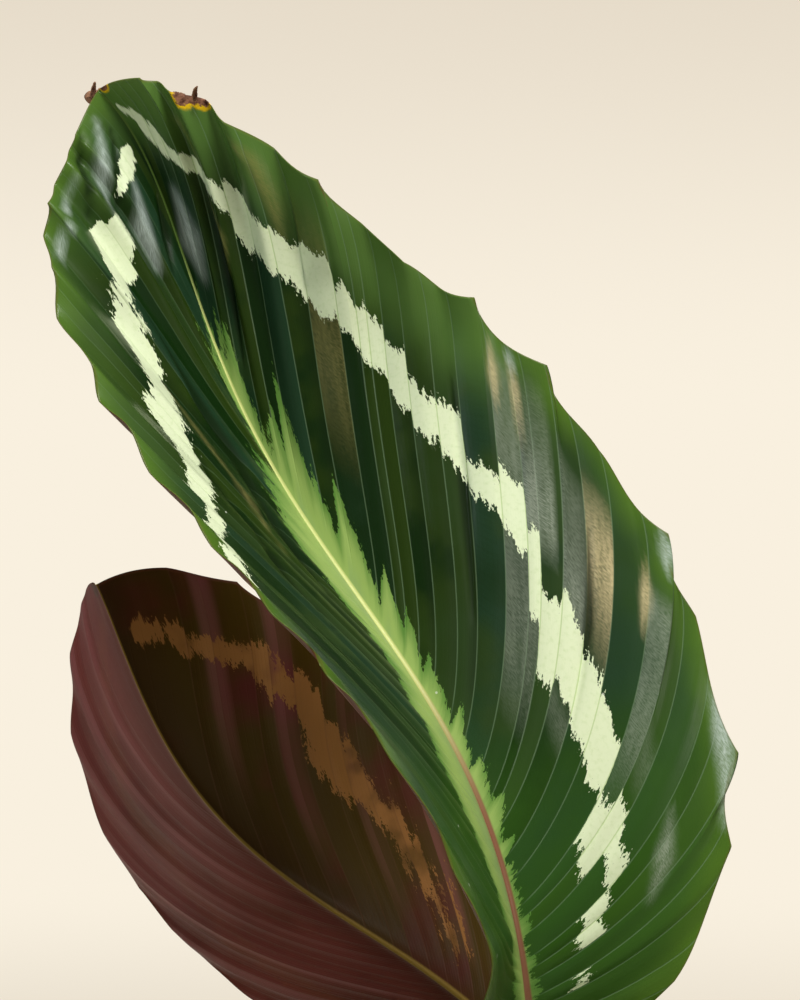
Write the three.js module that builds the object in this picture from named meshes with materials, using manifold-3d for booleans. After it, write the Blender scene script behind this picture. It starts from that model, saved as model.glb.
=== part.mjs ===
// Potted calathea: two crowns of broad, pleated leaves in a plain terracotta pot.
// Millimetres, +Z up. The origin is the centre of the pot's flat foot and the plant's front faces -Y.
import * as THREE from 'three';
import { mergeVertices } from 'three/addons/utils/BufferGeometryUtils.js';
import Module from 'manifold-3d';

const wasm = await Module();
wasm.setup();

// ---------------------------------------------------------------- driving dimensions
const GAP = 0.35; // clearance between pieces that touch
const ROUND_SEGMENTS = 40; // facets round the pot and the soil

const POT = {
  footRadius: 49,
  bodyTopRadius: 65,
  bodyHeight: 99,
  collarRadius: 70,
  rimRadius: 72.5,
  height: 126,
  edge: 1.6, // small rounding of foot and rim
  innerFloorRadius: 45,
  innerShoulderRadius: 60.5,
  innerRimRadius: 66.4,
  floor: 8.5,
};
const DRAIN = { count: 3, radius: 6, ring: 28, segments: 16 };

const SOIL = {
  top: 110,
  rings: [1, 0.8, 0.55, 0.28], // rings of the top, as shares of its radius
  levelRim: 0.95, // the top is level outside this share of its radius
  mound: 2.4, // how far the middle stands above the rim
  bump: 1.6,
};

const ROOTSTOCK = {
  halfLength: 17,
  halfWidth: 13,
  halfHeight: 18,
  centreHeight: 74,
  top: 84,
  meridians: 14,
  parallels: 10,
  ridge: 0.9, // leaf-scar rings raised round it
  ridgeWaves: 9,
  roots: 3,
  rootTurn: 0.4, // share of a step by which the roots are turned from +X
  rootStart: 72, // height at which the roots leave
  rootBend: 15.4,
  rootReach: 17.6,
  rootLength: 22,
  rootRadius: 2.2,
  rootTaper: 0.6,
  rootSides: 5,
  rootRings: 4,
};
const CROWNS = { a: new THREE.Vector2(10, -12), b: new THREE.Vector2(-6, 27) };
const STALK_RING = 9; // how far the outer stalks stand from the middle of their crown

const STALK = {
  footRadius: 3.1,
  middleRadius: 1.8,
  jointRadius: 2.4, // swollen joint under the blade
  jointLength: 16,
  endRadius: 2.0,
  sheath: [0.1, 0.6], // shares of the length between which the sheathing foot narrows
  endFrom: 0.9, // share of the length from which it widens to the end
  sides: 8,
  rings: 11,
};

const BLADE = {
  thickness: 0.8,
  neck: 1.8, // half width where the stalk meets the blade
  neckFade: 6,
  tipHalfWidth: 0.4,
  keel: 1.1, // how far the midrib stands out of the underside
  keelTaper: 0.85,
  baseRound: 0.5,
  sweep: 3.4, // how far the side veins run forward
  forward: 1.12,
  bow: 1.25,
  foldAtNeck: 0.5, // share of the V fold that the neck already has
  foldLength: 0.12, // share of the midrib over which the rest of the fold opens
  valley: 4, // width beside the midrib over which the thickness turns from the V's axis to the face
  pleatRise: 1.2, // how slowly a pleat deepens from the midrib outward
  pleatFromNeck: 12, // pleats deepen over one twelfth of the length behind the neck
  pleatToTip: 8, // and flatten over the last eighth
};

// The two leaves in view. Their midribs are drawn by control points, base to tip. fold gives the
// angle by which each half lifts off the face plane at four stations, and cusps lists the pointed
// bumps of the margin as [place along the margin, bump on the right, bump on the left].
const VIEW_LEAVES = [
  {
    crown: 'a',
    midrib: [[24, -26, 243], [19, -43, 284], [16, -3, 328], [-49, 14, 323], [-29, 21, 390], [-57, 20, 416]],
    face: [[-0.1, -1, 0.1], [-0.1, -1, 0.2], [0, -1, 0.3]],
    halfWidth: 51,
    tipRound: 0.64,
    fold: { right: [0, 2, 24, 58], left: [92, 75, 60, 12] },
    curl: { right: -11, left: 9 },
    cusps: [
      [0.05, 0.6, 0.8], [0.14, 1.7, 0.8], [0.198, 2.8, 0.7], [0.29, 1, 1], [0.348, 2.7, 1.2],
      [0.43, 0.2, 1.2], [0.522, 2.8, 0.7], [0.637, 2.9, 0.8], [0.718, 0, 1], [0.832, 3.1, 2.2],
      [0.91, 0.5, 2.6], [0.955, 0.4, 0.4], [0.98, 1.5, 0.7],
    ],
    pleat: 1.1,
    stalkBend: 50,
  },
  {
    crown: 'b',
    midrib: [[48, 62, 195], [20, 60, 216], [22, 52, 258], [-43, 40, 242], [-46, 33, 290], [-59, 28, 321]],
    face: [[0.3, 1, 0.1], [0.1, 1, 0], [-0.35, 1, 0.35]],
    halfWidth: 50,
    tipRound: 0.5,
    fold: { right: [20, 33, 46, 86], left: [60, 42, 12, 22] },
    curl: { right: 11, left: -7 },
    cusps: [
      [0.1, 0.6, 0.6], [0.2, 0.9, 1], [0.3, 0.8, 0.8], [0.39, 1, 1.2], [0.52, 0.8, 1],
      [0.63, 1.8, 1.2], [0.76, 0.9, 0.8], [0.85, 0.8, 1.2], [0.935, 1, 1.8], [0.98, 0.8, 0.6],
    ],
    pleat: 1.2,
    stalkBend: 22,
  },
];

// The lower leaves arch outward round the pot. azimuth is the way they point, in degrees from +X.
const LOWER_LEAVES = [
  { crown: 'a', azimuth: -58, reach: 40, height: 182, length: 150, rise: 44, droop: 22, sway: 8 },
  { crown: 'a', azimuth: -122, reach: 40, height: 160, length: 138, rise: 26, droop: 34, sway: -7 },
  { crown: 'b', azimuth: 176, reach: 42, height: 186, length: 146, rise: 36, droop: 30, sway: 6 },
  { crown: 'b', azimuth: 128, reach: 50, height: 158, length: 142, rise: 24, droop: 36, sway: -8 },
  { crown: 'b', azimuth: 80, reach: 58, height: 150, length: 128, rise: 18, droop: 36, sway: 6 },
  { crown: 'a', azimuth: 28, reach: 48, height: 158, length: 136, rise: 24, droop: 34, sway: 6 },
  { crown: 'a', azimuth: -17, reach: 44, height: 146, length: 140, rise: 18, droop: 38, sway: -6 },
];
const LOWER = {
  widthShare: 0.27, // half width as a share of the length
  tipRound: 0.68,
  fold: [24, 20, 16, 14],
  curl: -24,
  cuspCount: 8,
  cuspSpread: 8.6, // the last cusp lies at 8 / 8.6 of the margin
  cuspCrowding: 0.9,
  cusp: 1.5,
  cuspVariation: 0.3,
  pleat: 1.2,
  tilt: 0.18,
  swayStep: 0.5,
  stalkBend: 16,
};

const ROLLED_LEAF = {
  azimuth: 246,
  height: 205,
  lean: 8,
  foot: 2.6,
  stemTaper: 0.35,
  roll: 2.64, // how much fatter the rolled blade is than its stem
  rollFrom: [0.3, 0.5],
  rollTaper: 0.5,
  overlap: 0.12, // step of the outer edge over the roll, as a share of the radius
  tipRadius: 0.5,
  sides: 10,
  rings: 16,
};

const FINISHES = {
  blade: { color: '#41593f', roughness: 0.42 },
  underside: { color: '#6b4a47', roughness: 0.5 },
  stalk: { color: '#7f8a4a', roughness: 0.5 },
  rootstock: { color: '#b08f63', roughness: 0.85 },
  soil: { color: '#33251c', roughness: 0.98 },
  terracotta: { color: '#b4623d', roughness: 0.88 },
};

// ---------------------------------------------------------------- small helpers
const group = new THREE.Group();
group.name = 'potted_calathea';

const { clamp, lerp, smoothstep } = THREE.MathUtils;
const radians = THREE.MathUtils.degToRad;
const vector = ([x, y, z]) => new THREE.Vector3(x, y, z);

function addNode(name, geometry, finish) {
  const material = new THREE.MeshStandardMaterial({ ...FINISHES[finish], metalness: 0 });
  const mesh = new THREE.Mesh(geometry, material);
  mesh.name = name;
  group.add(mesh);
}

/** Geometry from a list of points and a list of triangles. */
function geometryFrom(points, triangles) {
  const coordinates = points.flatMap((p) => p.toArray());
  const geometry = new THREE.BufferGeometry();
  geometry.setAttribute('position', new THREE.Float32BufferAttribute(coordinates, 3));
  geometry.setIndex(triangles.flat());
  return geometry;
}

/** Shared vertices merged, and triangles without area (at a lathe's axis) left out. */
function welded(geometry) {
  const bare = geometry.clone();
  bare.deleteAttribute('normal');
  bare.deleteAttribute('uv');
  const merged = mergeVertices(bare, 1e-3);
  const index = Array.from(merged.index.array);
  const kept = [];
  for (let i = 0; i < index.length; i += 3) {
    const [a, b, c] = index.slice(i, i + 3);
    if (a !== b && b !== c && c !== a) kept.push(a, b, c);
  }
  merged.setIndex(kept);
  return merged;
}

function toSolid(geometry) {
  const clean = welded(geometry);
  return new wasm.Manifold(new wasm.Mesh({
    numProp: 3,
    vertProperties: Float32Array.from(clean.attributes.position.array),
    triVerts: Uint32Array.from(clean.index.array),
  }));
}

function fromSolid(solid) {
  const { vertProperties, triVerts } = solid.getMesh();
  const geometry = new THREE.BufferGeometry();
  geometry.setAttribute('position', new THREE.BufferAttribute(Float32Array.from(vertProperties), 3));
  geometry.setIndex(Array.from(triVerts));
  return geometry;
}

/** Point at share t of a Bezier curve with any number of control points. */
function bezierPoint(controls, t) {
  let points = controls.map((p) => p.clone());
  while (points.length > 1) {
    points = points.slice(1).map((p, i) => points[i].clone().lerp(p, t));
  }
  return points[0];
}

/** Value at x of the cubic through four values at 0, 1/3, 2/3 and 1. */
function throughFour([a, b, c, d], x) {
  const t = 3 * x;
  return (-a * (t - 1) * (t - 2) * (t - 3) + 3 * b * t * (t - 2) * (t - 3)
    - 3 * c * t * (t - 1) * (t - 3) + d * t * (t - 1) * (t - 2)) / 6;
}

// ---------------------------------------------------------------- leaf blades
/** Place, tangent, upper normal and rightward direction at share x of the midrib. */
function midribFrame(leaf, x) {
  const t = clamp(x, 0, 1);
  const step = 1e-4;
  const place = bezierPoint(leaf.midrib, t);
  const ahead = bezierPoint(leaf.midrib, Math.min(1, t + step));
  const tangent = ahead.sub(bezierPoint(leaf.midrib, Math.max(0, t - step))).normalize();
  const face = bezierPoint(leaf.face, t);
  const normal = face.addScaledVector(tangent, -face.dot(tangent)).normalize();
  const right = new THREE.Vector3().crossVectors(tangent, normal);
  return { place, tangent, normal, right };
}

/** Half width of the blade at share q of its length, as a share of the widest. */
function outlineShare(leaf, q) {
  const a = BLADE.baseRound;
  const b = leaf.tipRound;
  const widest = a / (a + b);
  return (q ** a * (1 - q) ** b) / (widest ** a * (1 - widest) ** b);
}

const marginAt = (s) => 1 - (1 - s) ** BLADE.sweep;
const midribAt = (q) => 1 - (1 - q) ** (1 / BLADE.sweep);

/** Pleat number at s: whole on each cusp's vein, half way between two of them. */
function pleatPhase(leaf, s) {
  const stations = [0, ...leaf.cusps.map(([q]) => midribAt(q)), 1];
  const i = Math.min(stations.findLastIndex((station) => station <= s), stations.length - 2);
  return i + (s - stations[i]) / (stations[i + 1] - stations[i]);
}

/** How far the margin's bump stands out at pleat number phase. */
function bumpAt(leaf, phase, side) {
  const column = side === 'right' ? 1 : 2;
  const heights = [0, ...leaf.cusps.map((cusp) => cusp[column]), 0];
  const i = Math.min(Math.floor(phase), heights.length - 2);
  const height = lerp(heights[i], heights[i + 1], phase - i);
  return height * (1 - 2 * Math.abs(phase - Math.round(phase))) ** 2;
}

/** Middle-surface point and thickness direction for the vein that starts at s, at share u along it. */
function bladePoint(leaf, s, u, side) {
  const q = marginAt(s);
  const phase = pleatPhase(leaf, s);
  const width = leaf.halfWidth * outlineShare(leaf, q) + bumpAt(leaf, phase, side)
    + BLADE.neck * (1 - q) ** BLADE.neckFade + BLADE.tipHalfWidth;
  const x = s + (q - s) * u ** BLADE.forward;
  const y = width * (1 - (1 - u) ** BLADE.bow);
  const { place, normal, right } = midribFrame(leaf, x);
  const opening = lerp(BLADE.foldAtNeck, 1, smoothstep(x, 0, BLADE.foldLength));
  const fold = radians(throughFour(leaf.fold[side], x)) * opening;
  const curl = radians(leaf.curl[side]);
  const turn = fold + (curl * y) / leaf.halfWidth;
  const across = ((Math.sin(turn) - Math.sin(fold)) / curl) * leaf.halfWidth;
  const lift = ((Math.cos(fold) - Math.cos(turn)) / curl) * leaf.halfWidth;
  const sign = side === 'right' ? 1 : -1;
  const upper = normal.clone().multiplyScalar(Math.cos(turn));
  upper.addScaledVector(right, -Math.sin(turn) * sign);
  const outward = normal.clone().lerp(upper, smoothstep(y, 0, BLADE.valley)).normalize();
  const ridge = 2 * Math.abs(2 * (phase - Math.floor(phase)) - 1) - 1;
  const ends = clamp(BLADE.pleatFromNeck * q, 0, 1) * clamp(BLADE.pleatToTip * (1 - q), 0, 1);
  const pleat = leaf.pleat * ridge * u ** BLADE.pleatRise * ends;
  const point = place.addScaledVector(right, sign * across);
  point.addScaledVector(normal, lift);
  point.addScaledVector(upper, pleat);
  return { point, outward };
}

/** Veins to build: each pleat has steps of them, and the smooth tip has tipSteps. */
function veinStations(leaf) {
  const edges = [0, ...leaf.cusps.map(([q]) => midribAt(q)), 1];
  const stations = [];
  edges.slice(0, -1).forEach((edge, i) => {
    const span = edges[i + 1] - edge;
    const isTip = i === edges.length - 2;
    const steps = isTip ? leaf.tipSteps : leaf.steps * (i < 2 || span > leaf.longPleat ? 2 : 1);
    const crowding = i === 0 ? 2 : 1; // the margin leaves the neck steeply, so veins start closer there
    for (let k = 0; k < steps; k += 1) stations.push(edge + span * (k / steps) ** crowding);
  });
  return [...stations, 1];
}

/** Closed blade: upper and lower face on one grid of veins, joined by a wall along the margin. */
function bladeGeometry(leaf) {
  const veins = veinStations(leaf);
  const columns = [...leaf.across.map((u) => -u).reverse(), 0, ...leaf.across];
  const upperFace = [];
  const lowerFace = [];
  veins.forEach((s) => {
    columns.forEach((column) => {
      const { point, outward } = bladePoint(leaf, s, Math.abs(column), column < 0 ? 'left' : 'right');
      const keel = column === 0 ? BLADE.keel * (1 - BLADE.keelTaper * s) : 0;
      upperFace.push(point.clone().addScaledVector(outward, BLADE.thickness / 2));
      lowerFace.push(point.clone().addScaledVector(outward, -BLADE.thickness / 2 - keel));
    });
  });
  const span = columns.length;
  const below = upperFace.length;
  const triangles = [];
  for (let row = 0; row < veins.length - 1; row += 1) {
    for (let column = 0; column < span - 1; column += 1) {
      const a = row * span + column;
      const b = a + 1;
      const c = a + span;
      const d = c + 1;
      const quad = column < (span - 1) / 2 ? [[a, b, c], [b, d, c]] : [[a, b, d], [a, d, c]];
      quad.forEach(([i, j, k]) => triangles.push([i, j, k], [i + below, k + below, j + below]));
    }
  }
  const rim = [];
  for (let column = 0; column < span; column += 1) rim.push(column);
  for (let row = 1; row < veins.length; row += 1) rim.push(row * span + span - 1);
  for (let column = span - 2; column >= 0; column -= 1) rim.push((veins.length - 1) * span + column);
  for (let row = veins.length - 2; row > 0; row -= 1) rim.push(row * span);
  rim.forEach((a, i) => {
    const b = rim[(i + 1) % rim.length];
    triangles.push([b, a, a + below], [b, a + below, b + below]);
  });
  return geometryFrom([...upperFace, ...lowerFace], triangles);
}

// ---------------------------------------------------------------- stalks
/** Closed tube along a curve; radiusAt gives its radius at share t of the length. */
function sweep(curve, radiusAt, sides, rings) {
  const frames = curve.computeFrenetFrames(rings, false);
  const points = [];
  for (let ring = 0; ring <= rings; ring += 1) {
    const centre = curve.getPointAt(ring / rings);
    for (let side = 0; side < sides; side += 1) {
      const angle = (2 * Math.PI * side) / sides;
      const radius = radiusAt(ring / rings, angle);
      points.push(centre.clone()
        .addScaledVector(frames.normals[ring], radius * Math.cos(angle))
        .addScaledVector(frames.binormals[ring], radius * Math.sin(angle)));
    }
  }
  const triangles = [];
  for (let ring = 0; ring < rings; ring += 1) {
    for (let side = 0; side < sides; side += 1) {
      const a = ring * sides + side;
      const b = ring * sides + ((side + 1) % sides);
      triangles.push([a, b, b + sides], [a, b + sides, a + sides]);
    }
  }
  const last = rings * sides;
  for (let side = 1; side < sides - 1; side += 1) {
    triangles.push([0, side + 1, side], [last, last + side, last + side + 1]);
  }
  return geometryFrom(points, triangles);
}

/** Stalk thickness: sheathing foot, slim middle, swollen joint, end that meets the blade. */
function stalkRadius(t, length) {
  const foot = (STALK.footRadius - STALK.middleRadius) * (1 - smoothstep(t, ...STALK.sheath));
  const halfJoint = STALK.jointLength / 2;
  const joint = clamp(1 - Math.abs((1 - t) * length - halfJoint) / halfJoint, 0, 1);
  const swell = (STALK.jointRadius - STALK.middleRadius) * Math.sqrt(joint);
  const end = (STALK.endRadius - STALK.middleRadius) * smoothstep(t, STALK.endFrom, 1);
  return STALK.middleRadius + foot + swell + end;
}

/** Curve of a stalk from its crown to just short of the blade's neck. */
function stalkCurve(leaf) {
  const { place, tangent } = midribFrame(leaf, 0);
  const top = place.addScaledVector(tangent, -GAP);
  const foot = new THREE.Vector3(leaf.foot.x, leaf.foot.y, ROOTSTOCK.top + GAP);
  const upright = foot.clone().setZ((foot.z + top.z) / 2);
  const arrival = top.clone().addScaledVector(tangent, -leaf.stalkBend);
  return new THREE.CubicBezierCurve3(foot, upright, arrival, top);
}

/** Stalk solid; grow makes it fatter all round, for the hole that it stands in. */
function stalkGeometry(leaf, grow = 0) {
  const curve = stalkCurve(leaf);
  const length = curve.getLength();
  if (grow > 0) curve.v0.z -= 2 * grow;
  return sweep(curve, (t) => stalkRadius(t, length) + grow, STALK.sides, STALK.rings);
}

// ---------------------------------------------------------------- the young leaf, still rolled
function rolledLeafGeometry(grow = 0) {
  const way = radians(ROLLED_LEAF.azimuth);
  const foot = new THREE.Vector3(
    CROWNS.b.x + STALK_RING * Math.cos(way),
    CROWNS.b.y + STALK_RING * Math.sin(way),
    ROOTSTOCK.top + GAP - 2 * grow,
  );
  const tip = new THREE.Vector3(
    foot.x + ROLLED_LEAF.lean * Math.cos(way),
    foot.y + ROLLED_LEAF.lean * Math.sin(way),
    ROLLED_LEAF.height,
  );
  const middle = foot.clone().setZ((foot.z + tip.z) / 2);
  const curve = new THREE.QuadraticBezierCurve3(foot, middle, tip);
  const radiusAt = (t, angle) => {
    const roll = smoothstep(t, ...ROLLED_LEAF.rollFrom) * (1 - t) ** ROLLED_LEAF.rollTaper;
    const overlap = 1 + ROLLED_LEAF.overlap * (angle / (2 * Math.PI)) * roll;
    const stem = ROLLED_LEAF.foot * (1 - t) ** ROLLED_LEAF.stemTaper;
    return Math.max(ROLLED_LEAF.tipRadius, (stem + ROLLED_LEAF.roll * roll) * overlap) + grow;
  };
  return sweep(curve, radiusAt, ROLLED_LEAF.sides, ROLLED_LEAF.rings);
}

// ---------------------------------------------------------------- rootstock, soil and pot
/** Flat-topped knob with leaf-scar rings and thick roots, round the middle of a crown. */
function rootstockSolid(crown, grow = 0) {
  const knob = new THREE.SphereGeometry(1, ROOTSTOCK.meridians, ROOTSTOCK.parallels);
  const position = knob.attributes.position;
  for (let i = 0; i < position.count; i += 1) {
    const p = new THREE.Vector3().fromBufferAttribute(position, i);
    const wave = Math.sin(ROOTSTOCK.ridgeWaves * p.x);
    const ridge = 1 + (ROOTSTOCK.ridge / ROOTSTOCK.halfWidth) * wave;
    const z = ROOTSTOCK.centreHeight + (ROOTSTOCK.halfHeight + grow) * p.z * ridge;
    position.setXYZ(
      i,
      crown.x + (ROOTSTOCK.halfLength + grow) * p.x,
      crown.y + (ROOTSTOCK.halfWidth + grow) * p.y * ridge,
      Math.min(z, ROOTSTOCK.top + grow),
    );
  }
  let solid = toSolid(knob);
  for (let i = 0; i < ROOTSTOCK.roots; i += 1) {
    const way = (2 * Math.PI * (i + ROOTSTOCK.rootTurn)) / ROOTSTOCK.roots;
    const out = new THREE.Vector3(Math.cos(way), Math.sin(way), 0);
    const start = new THREE.Vector3(crown.x, crown.y, ROOTSTOCK.rootStart);
    const bend = start.clone().addScaledVector(out, ROOTSTOCK.rootBend);
    const end = start.clone().addScaledVector(out, ROOTSTOCK.rootReach);
    end.z -= ROOTSTOCK.rootLength;
    const curve = new THREE.QuadraticBezierCurve3(start, bend, end);
    const radiusAt = (t) => ROOTSTOCK.rootRadius * (1 - ROOTSTOCK.rootTaper * t) + grow;
    const root = sweep(curve, radiusAt, ROOTSTOCK.rootSides, ROOTSTOCK.rootRings);
    solid = solid.add(toSolid(root));
  }
  return solid;
}

/** Solid of revolution about +Z from [radius, height] points that start and end on the axis. */
function turned(profile) {
  const points = profile.map(([radius, height]) => new THREE.Vector2(radius, height));
  return new THREE.LatheGeometry(points, ROUND_SEGMENTS).rotateX(Math.PI / 2);
}

/** Inner radius of the pot at a height above its floor. */
function potInnerRadius(height) {
  const shoulder = POT.bodyHeight + POT.edge;
  if (height > shoulder) {
    const share = (height - shoulder) / (POT.height - POT.edge - shoulder);
    return lerp(POT.innerShoulderRadius, POT.innerRimRadius, share);
  }
  const share = (height - POT.floor) / (shoulder - POT.floor);
  return lerp(POT.innerFloorRadius, POT.innerShoulderRadius, share);
}

function potGeometry() {
  const profile = [
    [0, 0],
    [POT.footRadius, 0],
    [POT.footRadius + POT.edge, POT.edge],
    [POT.bodyTopRadius, POT.bodyHeight],
    [POT.collarRadius - POT.edge, POT.bodyHeight + POT.edge],
    [POT.collarRadius, POT.bodyHeight + 2 * POT.edge],
    [POT.rimRadius, POT.height - POT.edge],
    [POT.rimRadius - POT.edge, POT.height],
    [POT.innerRimRadius + POT.edge, POT.height],
    [POT.innerRimRadius, POT.height - POT.edge],
    [POT.innerShoulderRadius, POT.bodyHeight + POT.edge],
    [POT.innerFloorRadius, POT.floor],
    [0, POT.floor],
  ];
  let pot = toSolid(turned(profile));
  for (let i = 0; i < DRAIN.count; i += 1) {
    const way = (2 * Math.PI * (i + 0.5)) / DRAIN.count;
    const drill = new THREE.CylinderGeometry(DRAIN.radius, DRAIN.radius, 4 * POT.floor, DRAIN.segments);
    drill.rotateX(Math.PI / 2);
    drill.translate(DRAIN.ring * Math.cos(way), DRAIN.ring * Math.sin(way), 0);
    pot = pot.subtract(toSolid(drill));
  }
  return fromSolid(pot);
}

/** Uneven height of the soil's top, between about -1.6 and 1.6. */
function soilWave(x, y) {
  return Math.sin(0.19 * x + 0.7) * Math.cos(0.23 * y) + 0.6 * Math.sin(0.31 * (x - y));
}

/** Soil with an uneven top and plain holes for the stalks and rootstocks. */
function soilGeometry(holes) {
  const bottom = POT.floor + GAP;
  const edge = potInnerRadius(SOIL.top) - GAP;
  const shoulder = POT.bodyHeight + POT.edge;
  const profile = [
    [0, bottom],
    [POT.innerFloorRadius - GAP, bottom],
    [POT.innerShoulderRadius - GAP, shoulder],
    ...SOIL.rings.map((share) => [edge * share, SOIL.top]),
    [0, SOIL.top],
  ];
  const body = turned(profile);
  const position = body.attributes.position;
  for (let i = 0; i < position.count; i += 1) {
    const [x, y, z] = [position.getX(i), position.getY(i), position.getZ(i)];
    if (z > shoulder + GAP && Math.hypot(x, y) < edge * SOIL.levelRim) {
      position.setZ(i, z + SOIL.mound + SOIL.bump * soilWave(x, y));
    }
  }
  const soil = holes.reduce((solid, hole) => solid.subtract(hole), toSolid(body));
  return fromSolid(soil);
}

// ---------------------------------------------------------------- the leaves of this plant
function viewLeaf(spec) {
  return {
    ...spec,
    midrib: spec.midrib.map(vector),
    face: spec.face.map(vector),
    foot: CROWNS[spec.crown],
    across: [0.06, 0.28, 0.52, 0.76, 1],
    steps: 2,
    longPleat: 0.05,
    tipSteps: 6,
  };
}

function lowerLeaf(spec) {
  const way = radians(spec.azimuth);
  const out = new THREE.Vector3(Math.cos(way), Math.sin(way), 0);
  const aside = new THREE.Vector3(-Math.sin(way), Math.cos(way), 0);
  const base = out.clone().multiplyScalar(spec.reach).setZ(spec.height);
  const slopes = [spec.rise, (spec.rise - spec.droop) / 2, -spec.droop].map(radians);
  const midrib = [base];
  slopes.forEach((slope, i) => {
    const next = midrib[i].clone().addScaledVector(out, (spec.length / 3) * Math.cos(slope));
    next.z += (spec.length / 3) * Math.sin(slope);
    next.addScaledVector(aside, spec.sway * (i + 1) * LOWER.swayStep);
    midrib.push(next);
  });
  const cusps = Array.from({ length: LOWER.cuspCount }, (_, i) => {
    const place = ((i + 1) / LOWER.cuspSpread) ** LOWER.cuspCrowding;
    const onRight = LOWER.cusp * (1 + LOWER.cuspVariation * Math.sin(5 * i));
    const onLeft = LOWER.cusp * (1 + LOWER.cuspVariation * Math.cos(4 * i));
    return [place, onRight, onLeft];
  });
  const crown = CROWNS[spec.crown];
  const tilt = LOWER.tilt * Math.sign(spec.sway);
  return {
    midrib,
    face: [new THREE.Vector3(0, 0, 1).addScaledVector(aside, tilt), new THREE.Vector3(0, 0, 1)],
    halfWidth: spec.length * LOWER.widthShare,
    tipRound: LOWER.tipRound,
    fold: { right: LOWER.fold, left: LOWER.fold },
    curl: { right: LOWER.curl, left: LOWER.curl },
    cusps,
    pleat: LOWER.pleat,
    stalkBend: LOWER.stalkBend,
    foot: new THREE.Vector2(crown.x + STALK_RING * out.x, crown.y + STALK_RING * out.y),
    across: [0.08, 0.4, 0.7, 1],
    steps: 2,
    longPleat: 1,
    tipSteps: 4,
  };
}

const leaves = [...VIEW_LEAVES.map(viewLeaf), ...LOWER_LEAVES.map(lowerLeaf)];

addNode('pot', potGeometry(), 'terracotta');
addNode('soil', soilGeometry([
  ...Object.values(CROWNS).map((crown) => rootstockSolid(crown, GAP)),
  ...leaves.map((leaf) => toSolid(stalkGeometry(leaf, GAP))),
  toSolid(rolledLeafGeometry(GAP)),
]), 'soil');
Object.entries(CROWNS).forEach(([letter, crown]) => {
  addNode(`rootstock_${letter}`, fromSolid(rootstockSolid(crown)), 'rootstock');
});
leaves.forEach((leaf, i) => {
  const number = String(i + 1).padStart(2, '0');
  addNode(`leaf_stalk_${number}`, stalkGeometry(leaf), 'stalk');
  addNode(`leaf_blade_${number}`, bladeGeometry(leaf), i === 1 ? 'underside' : 'blade');
});
addNode('rolled_leaf', rolledLeafGeometry(), 'stalk');

export default group;
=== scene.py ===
"""Potted calathea: broad pleated leaves on slim stalks in a plain terracotta pot.

Lengths are in millimetres, as in the part's drawing, and become metres when a mesh is made.
The origin is the centre of the pot's foot, +Z is up and the plant's front faces -Y.
"""

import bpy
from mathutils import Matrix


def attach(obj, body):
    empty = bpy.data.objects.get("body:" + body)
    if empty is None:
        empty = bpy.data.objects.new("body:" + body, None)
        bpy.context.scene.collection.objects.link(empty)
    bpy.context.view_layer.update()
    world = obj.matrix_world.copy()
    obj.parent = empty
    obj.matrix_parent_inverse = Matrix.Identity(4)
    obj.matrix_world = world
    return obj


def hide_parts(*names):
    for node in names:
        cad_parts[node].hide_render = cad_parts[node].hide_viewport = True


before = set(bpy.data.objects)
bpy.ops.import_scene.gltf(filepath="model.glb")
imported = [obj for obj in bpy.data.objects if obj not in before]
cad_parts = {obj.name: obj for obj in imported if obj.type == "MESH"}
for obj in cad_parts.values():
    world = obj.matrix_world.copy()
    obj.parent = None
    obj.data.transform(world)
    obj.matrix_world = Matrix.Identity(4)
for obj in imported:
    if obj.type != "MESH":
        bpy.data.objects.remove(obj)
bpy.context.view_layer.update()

import logging
import math
from dataclasses import dataclass, field
from enum import Enum
from functools import cache
from typing import Optional, Sequence, Union

import bmesh
import bpy
import numpy as np
from mathutils import Vector

log = logging.getLogger("potted_calathea")
MM = 0.001
FULL_TURN = 6.28
Socket = bpy.types.NodeSocket
Tree = bpy.types.NodeTree
Material = bpy.types.Material
Object = bpy.types.Object
Array = np.ndarray
Table = Sequence[Sequence[float]]
Feed = Union[Socket, float, Sequence[float], None]
Colour = tuple[float, float, float, float]


# ---- small helpers
def srgb(red: float, green: float, blue: float) -> Colour:
    """Linear colour of an sRGB colour given as 0 to 255."""
    def linear(value: float) -> float:
        """One channel made linear."""
        share = value / 255
        return share / 12.92 if share <= 0.04045 else ((share + 0.055) / 1.055) ** 2.4
    return (linear(red), linear(green), linear(blue), 1.0)


def unit(vectors: Array) -> Array:
    """Vectors scaled to length one along their last axis."""
    return vectors / np.maximum(np.linalg.norm(vectors, axis=-1, keepdims=True), 1e-12)


def smoothstep(x: Array, low: float, high: float) -> Array:
    """Smooth rise from 0 at low to 1 at high."""
    t = np.clip((x - low) / (high - low), 0, 1)
    return t * t * (3 - 2 * t)


def bezier(controls: Array, t: Array) -> Array:
    """Points of a Bezier curve.

    Args:
        controls: Control points, one row each.
        t: Shares of the curve, in any shape.

    Returns:
        Points in t's shape with one more axis.
    """
    points = [np.broadcast_to(control, (*t.shape, 3)) for control in np.asarray(controls, float)]
    share = t[..., None]
    while len(points) > 1:
        points = [a * (1 - share) + b * share for a, b in zip(points, points[1:])]
    return points[0]


def through_four(values: Sequence[float], x: Array) -> Array:
    """Cubic through four values at 0, 1/3, 2/3 and 1."""
    a, b, c, d = values
    t = 3 * x
    return (-a * (t - 1) * (t - 2) * (t - 3) + 3 * b * t * (t - 2) * (t - 3)
            - 3 * c * t * (t - 1) * (t - 3) + d * t * (t - 1) * (t - 2)) / 6


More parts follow.
